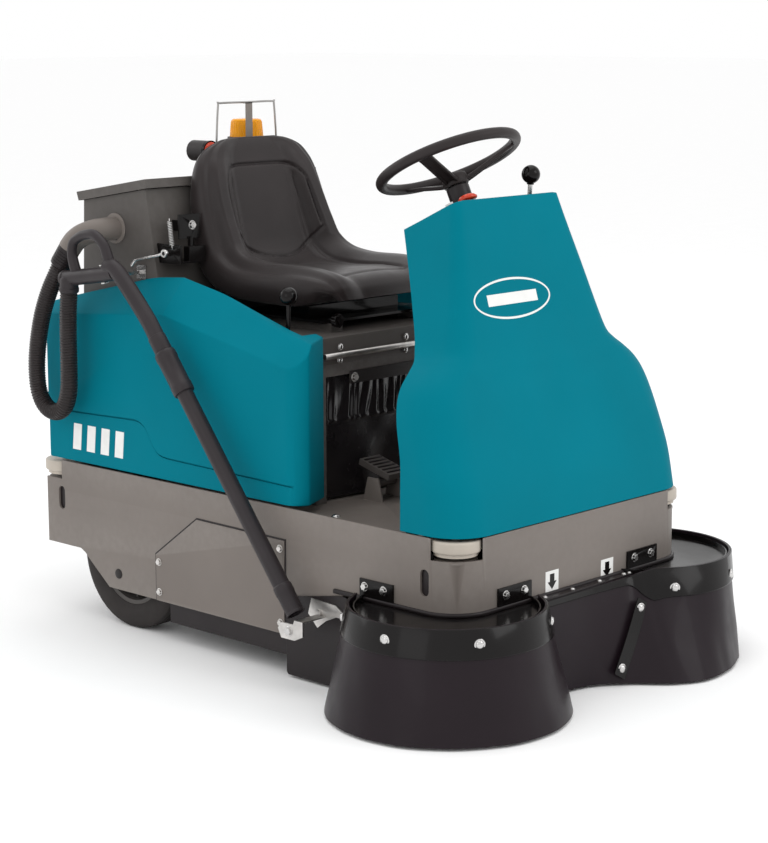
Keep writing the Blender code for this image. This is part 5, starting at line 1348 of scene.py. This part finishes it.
def side_brushes():
    for side, word in ((-1, "right"), (1, "left")):
        middle = Vector((side * SIDE_BRUSH.x, SIDE_BRUSH.y, 0.0))
        disc = turned([(0.0, 0.083), (0.06, 0.083), (0.098, 0.064), (0.108, 0.068), (0.112, 0.085),
                       (0.085, 0.092), (0.07, 0.1), (0.0, 0.1)], middle, (0, 0, 1), 64)
        piece("brush_disc_" + word, disc, PLASTIC, "side_brush_" + word, ("side_brush_" + word,), bevel=0.001)
        tufts = []
        count = 44
        for ring, start, reach, low in ((0, 0.1, 0.155, 0.03), (1, 0.086, 0.138, 0.03)):
            for k in range(count):
                angle = 2.0 * pi * (k + 0.5 * ring) / count
                way = Vector((cos(angle), sin(angle), 0.0))
                lean = Vector((-way.y, way.x, 0.0)) * 0.006 * sin(7.0 * angle)
                root = middle + way * start + Vector((0.0, 0.0, 0.074))
                tip = middle + way * reach + lean + Vector((0.0, 0.0, low + 0.004))
                tufts.append(tuft(root, tip, 0.0034, 0.9))
        piece("brush_tufts_" + word, tufts, BRISTLE, "side_brush_" + word, sharp=60)
        refined("brush_arm_" + word, BLACK, 0.001)


def main_brush():
    core = turned([(0.0, -0.2725), (0.022, -0.2725), (0.022, -0.299), (0.062, -0.299), (0.062, 0.299),
                   (0.022, 0.299), (0.022, 0.2725), (0.0, 0.2725)], MAIN_BRUSH, (1, 0, 0), 48)
    piece("brush_core", core, PLASTIC, "main_brush", ("main_brush",))
    tufts = []
    rows = 14
    per_row = 34
    for k in range(rows):
        for s in range(per_row):
            x = -0.289 + 0.578 * s / (per_row - 1)
            angle = 2.0 * pi * (k + 1.1 * abs(s / (per_row - 1) - 0.5) * 2.0) / rows
            way = Vector((0.0, cos(angle), sin(angle)))
            root = MAIN_BRUSH + Vector((x, 0.0, 0.0)) + way * 0.058
            tip = MAIN_BRUSH + Vector((x, 0.0, 0.0)) + way * 0.1285
            tufts.append(tuft(root, tip + Vector((0.0, 0.0, 0.002)), 0.0046, 0.75))
    piece("brush_tufts_main", tufts, BRISTLE, "main_brush", sharp=60)
    refined("brush_arm", BLACK, 0.001)


# ---- pedal, hopper, drive ----
def lower_parts():
    refined("drive_pedal", DARK_GREY, 0.001)
    ribs = []
    for k in range(6):
        share = 0.12 + 0.76 * k / 5
        y = 0.424 + 0.092 * share
        z = 0.4305 + 0.0255 * share
        ribs.append(rounded(block((-0.149, y - 0.003, z - 0.001), (-0.094, y + 0.003, z + 0.0022)), 0.0008,
                            2))
    piece("pedal_ribs", ribs, RUBBER, "drive_pedal")
    refined("hopper", PLASTIC, 0.0014)
    refined("steering_fork", BLACK, 0.001)
    spots = ((-0.33, 0.42, DECK_Z), (0.33, 0.42, DECK_Z))
    bolts("deck_plate_bolts", spots, (0, 0, 1), 0.008, 0.004, round_head=True)


# ---- markings: plain shapes, no lettering ----
def flat_mark(name, outlines, origin, across, up, target, material, body, lift=0.0004):
    """Outlines drawn on a plane, each laid on the target's surface as a thin film."""
    tree = BVHTree.FromObject(PIECES[target], bpy.context.evaluated_depsgraph_get())
    across = Vector(across).normalized()
    up = Vector(up).normalized()
    inward = -across.cross(up).normalized()
    bm = bmesh.new()
    for outline in outlines:
        for loop in outline:
            spots = []
            for u, v in loop:
                start = ORIGIN + Vector(origin) + across * u + up * v - inward * 0.12
                spot, normal, _, _ = tree.ray_cast(start, inward, 0.3)
                if spot is None:
                    spot, normal = start + inward * 0.12, -inward
                spots.append((spot - ORIGIN, normal))
            face = [bm.verts.new(s + n * lift) for s, n in spots]
            back = [bm.verts.new(s - n * 0.0004) for s, n in spots]
            bm.faces.new(face)
            bm.faces.new(list(reversed(back)))
            for k in range(len(face)):
                after = (k + 1) % len(face)
                bm.faces.new((face[after], face[k], back[k], back[after]))
    bmesh.ops.recalc_face_normals(bm, faces=bm.faces)
    mesh = bpy.data.meshes.new(name)
    bm.to_mesh(mesh)
    bm.free()
    return piece(name, mesh, material, body, sharp=60)


def ellipse_ring(a, b, thick, steps=72):
    loops = []
    for k in range(steps):
        first = 2.0 * pi * k / steps
        second = 2.0 * pi * (k + 1) / steps
        loops.append([(a * cos(first), b * sin(first)), (a * cos(second), b * sin(second)),
                      ((a - thick) * cos(second), (b - thick) * sin(second)), ((a - thick) * cos(first),
                (b - thick) * sin(first))])
    return loops


def bars(spots, wide, tall, lean=0.0, parts=6):
    """Upright bars, each cut into short lengths so that it follows the surface."""
    loops = []
    for x in spots:
        for k in range(parts):
            low = -tall / 2 + tall * k / parts
            high = low + tall / parts
            loops.append([(x - wide / 2 + lean * low, low), (x + wide / 2 + lean * low, low),
                          (x + wide / 2 + lean * high, high), (x - wide / 2 + lean * high, high)])
    return loops


def markings():
    front = ((1, 0, 0), (0, 0, 1))
    ring = ellipse_ring(0.127, 0.043, 0.0045)
    stripe = []
    for k in range(16):
        low = -0.082 + 0.164 * k / 16
        high = low + 0.164 / 16
        stripe.append([(low, -0.012), (high, -0.012), (high, 0.012), (low, 0.012)])
    flat_mark("shroud_mark", [ring, stripe], (-0.065, 0.06, 0.847), *front, "shroud_moulding", WHITE,
              "chassis")
    digits = bars((-0.078, -0.026, 0.026, 0.078), 0.03, 0.064, 0.1)
    flat_mark("cover_mark", [digits], (-0.4, 1.15, 0.449), (0, -1, 0), (0, 0, 1), "cover_moulding_right",
              WHITE, "chassis")
    # Two plain white labels over the brush guards, each with an arrow pointing down to its brush.
    for word, x, z in (("right", -0.095, 0.249), ("left", 0.098, 0.24)):
        label = [[(-0.022, -0.023), (0.022, -0.023), (0.022, 0.023), (-0.022, 0.023)]]
        flat_mark("label_" + word, [label], (x, 0.0, z), *front, "main_frame_finish", WHITE, "chassis")
        arrow = [[(-0.0075, -0.001), (0.0075, -0.001), (0.0075, 0.016), (-0.0075, 0.016)], [(-0.015, -0.001),
                (0.0, -0.018), (0.015, -0.001)]]
        flat_mark("arrow_" + word, [arrow], (x, 0.0, z), *front, "label_" + word, GLOSS, "chassis")


# ---- build ----
shroud()
side_covers()
side_panel()
chassis()
corner_rollers()
steering()
dash()
seat_cushion()
seat_support()
curtain()
batteries()
filter_box()
beacon()
wand()
wheels()
skirts()
guard_plates()
flaps()
side_brushes()
main_brush()
lower_parts()
markings()
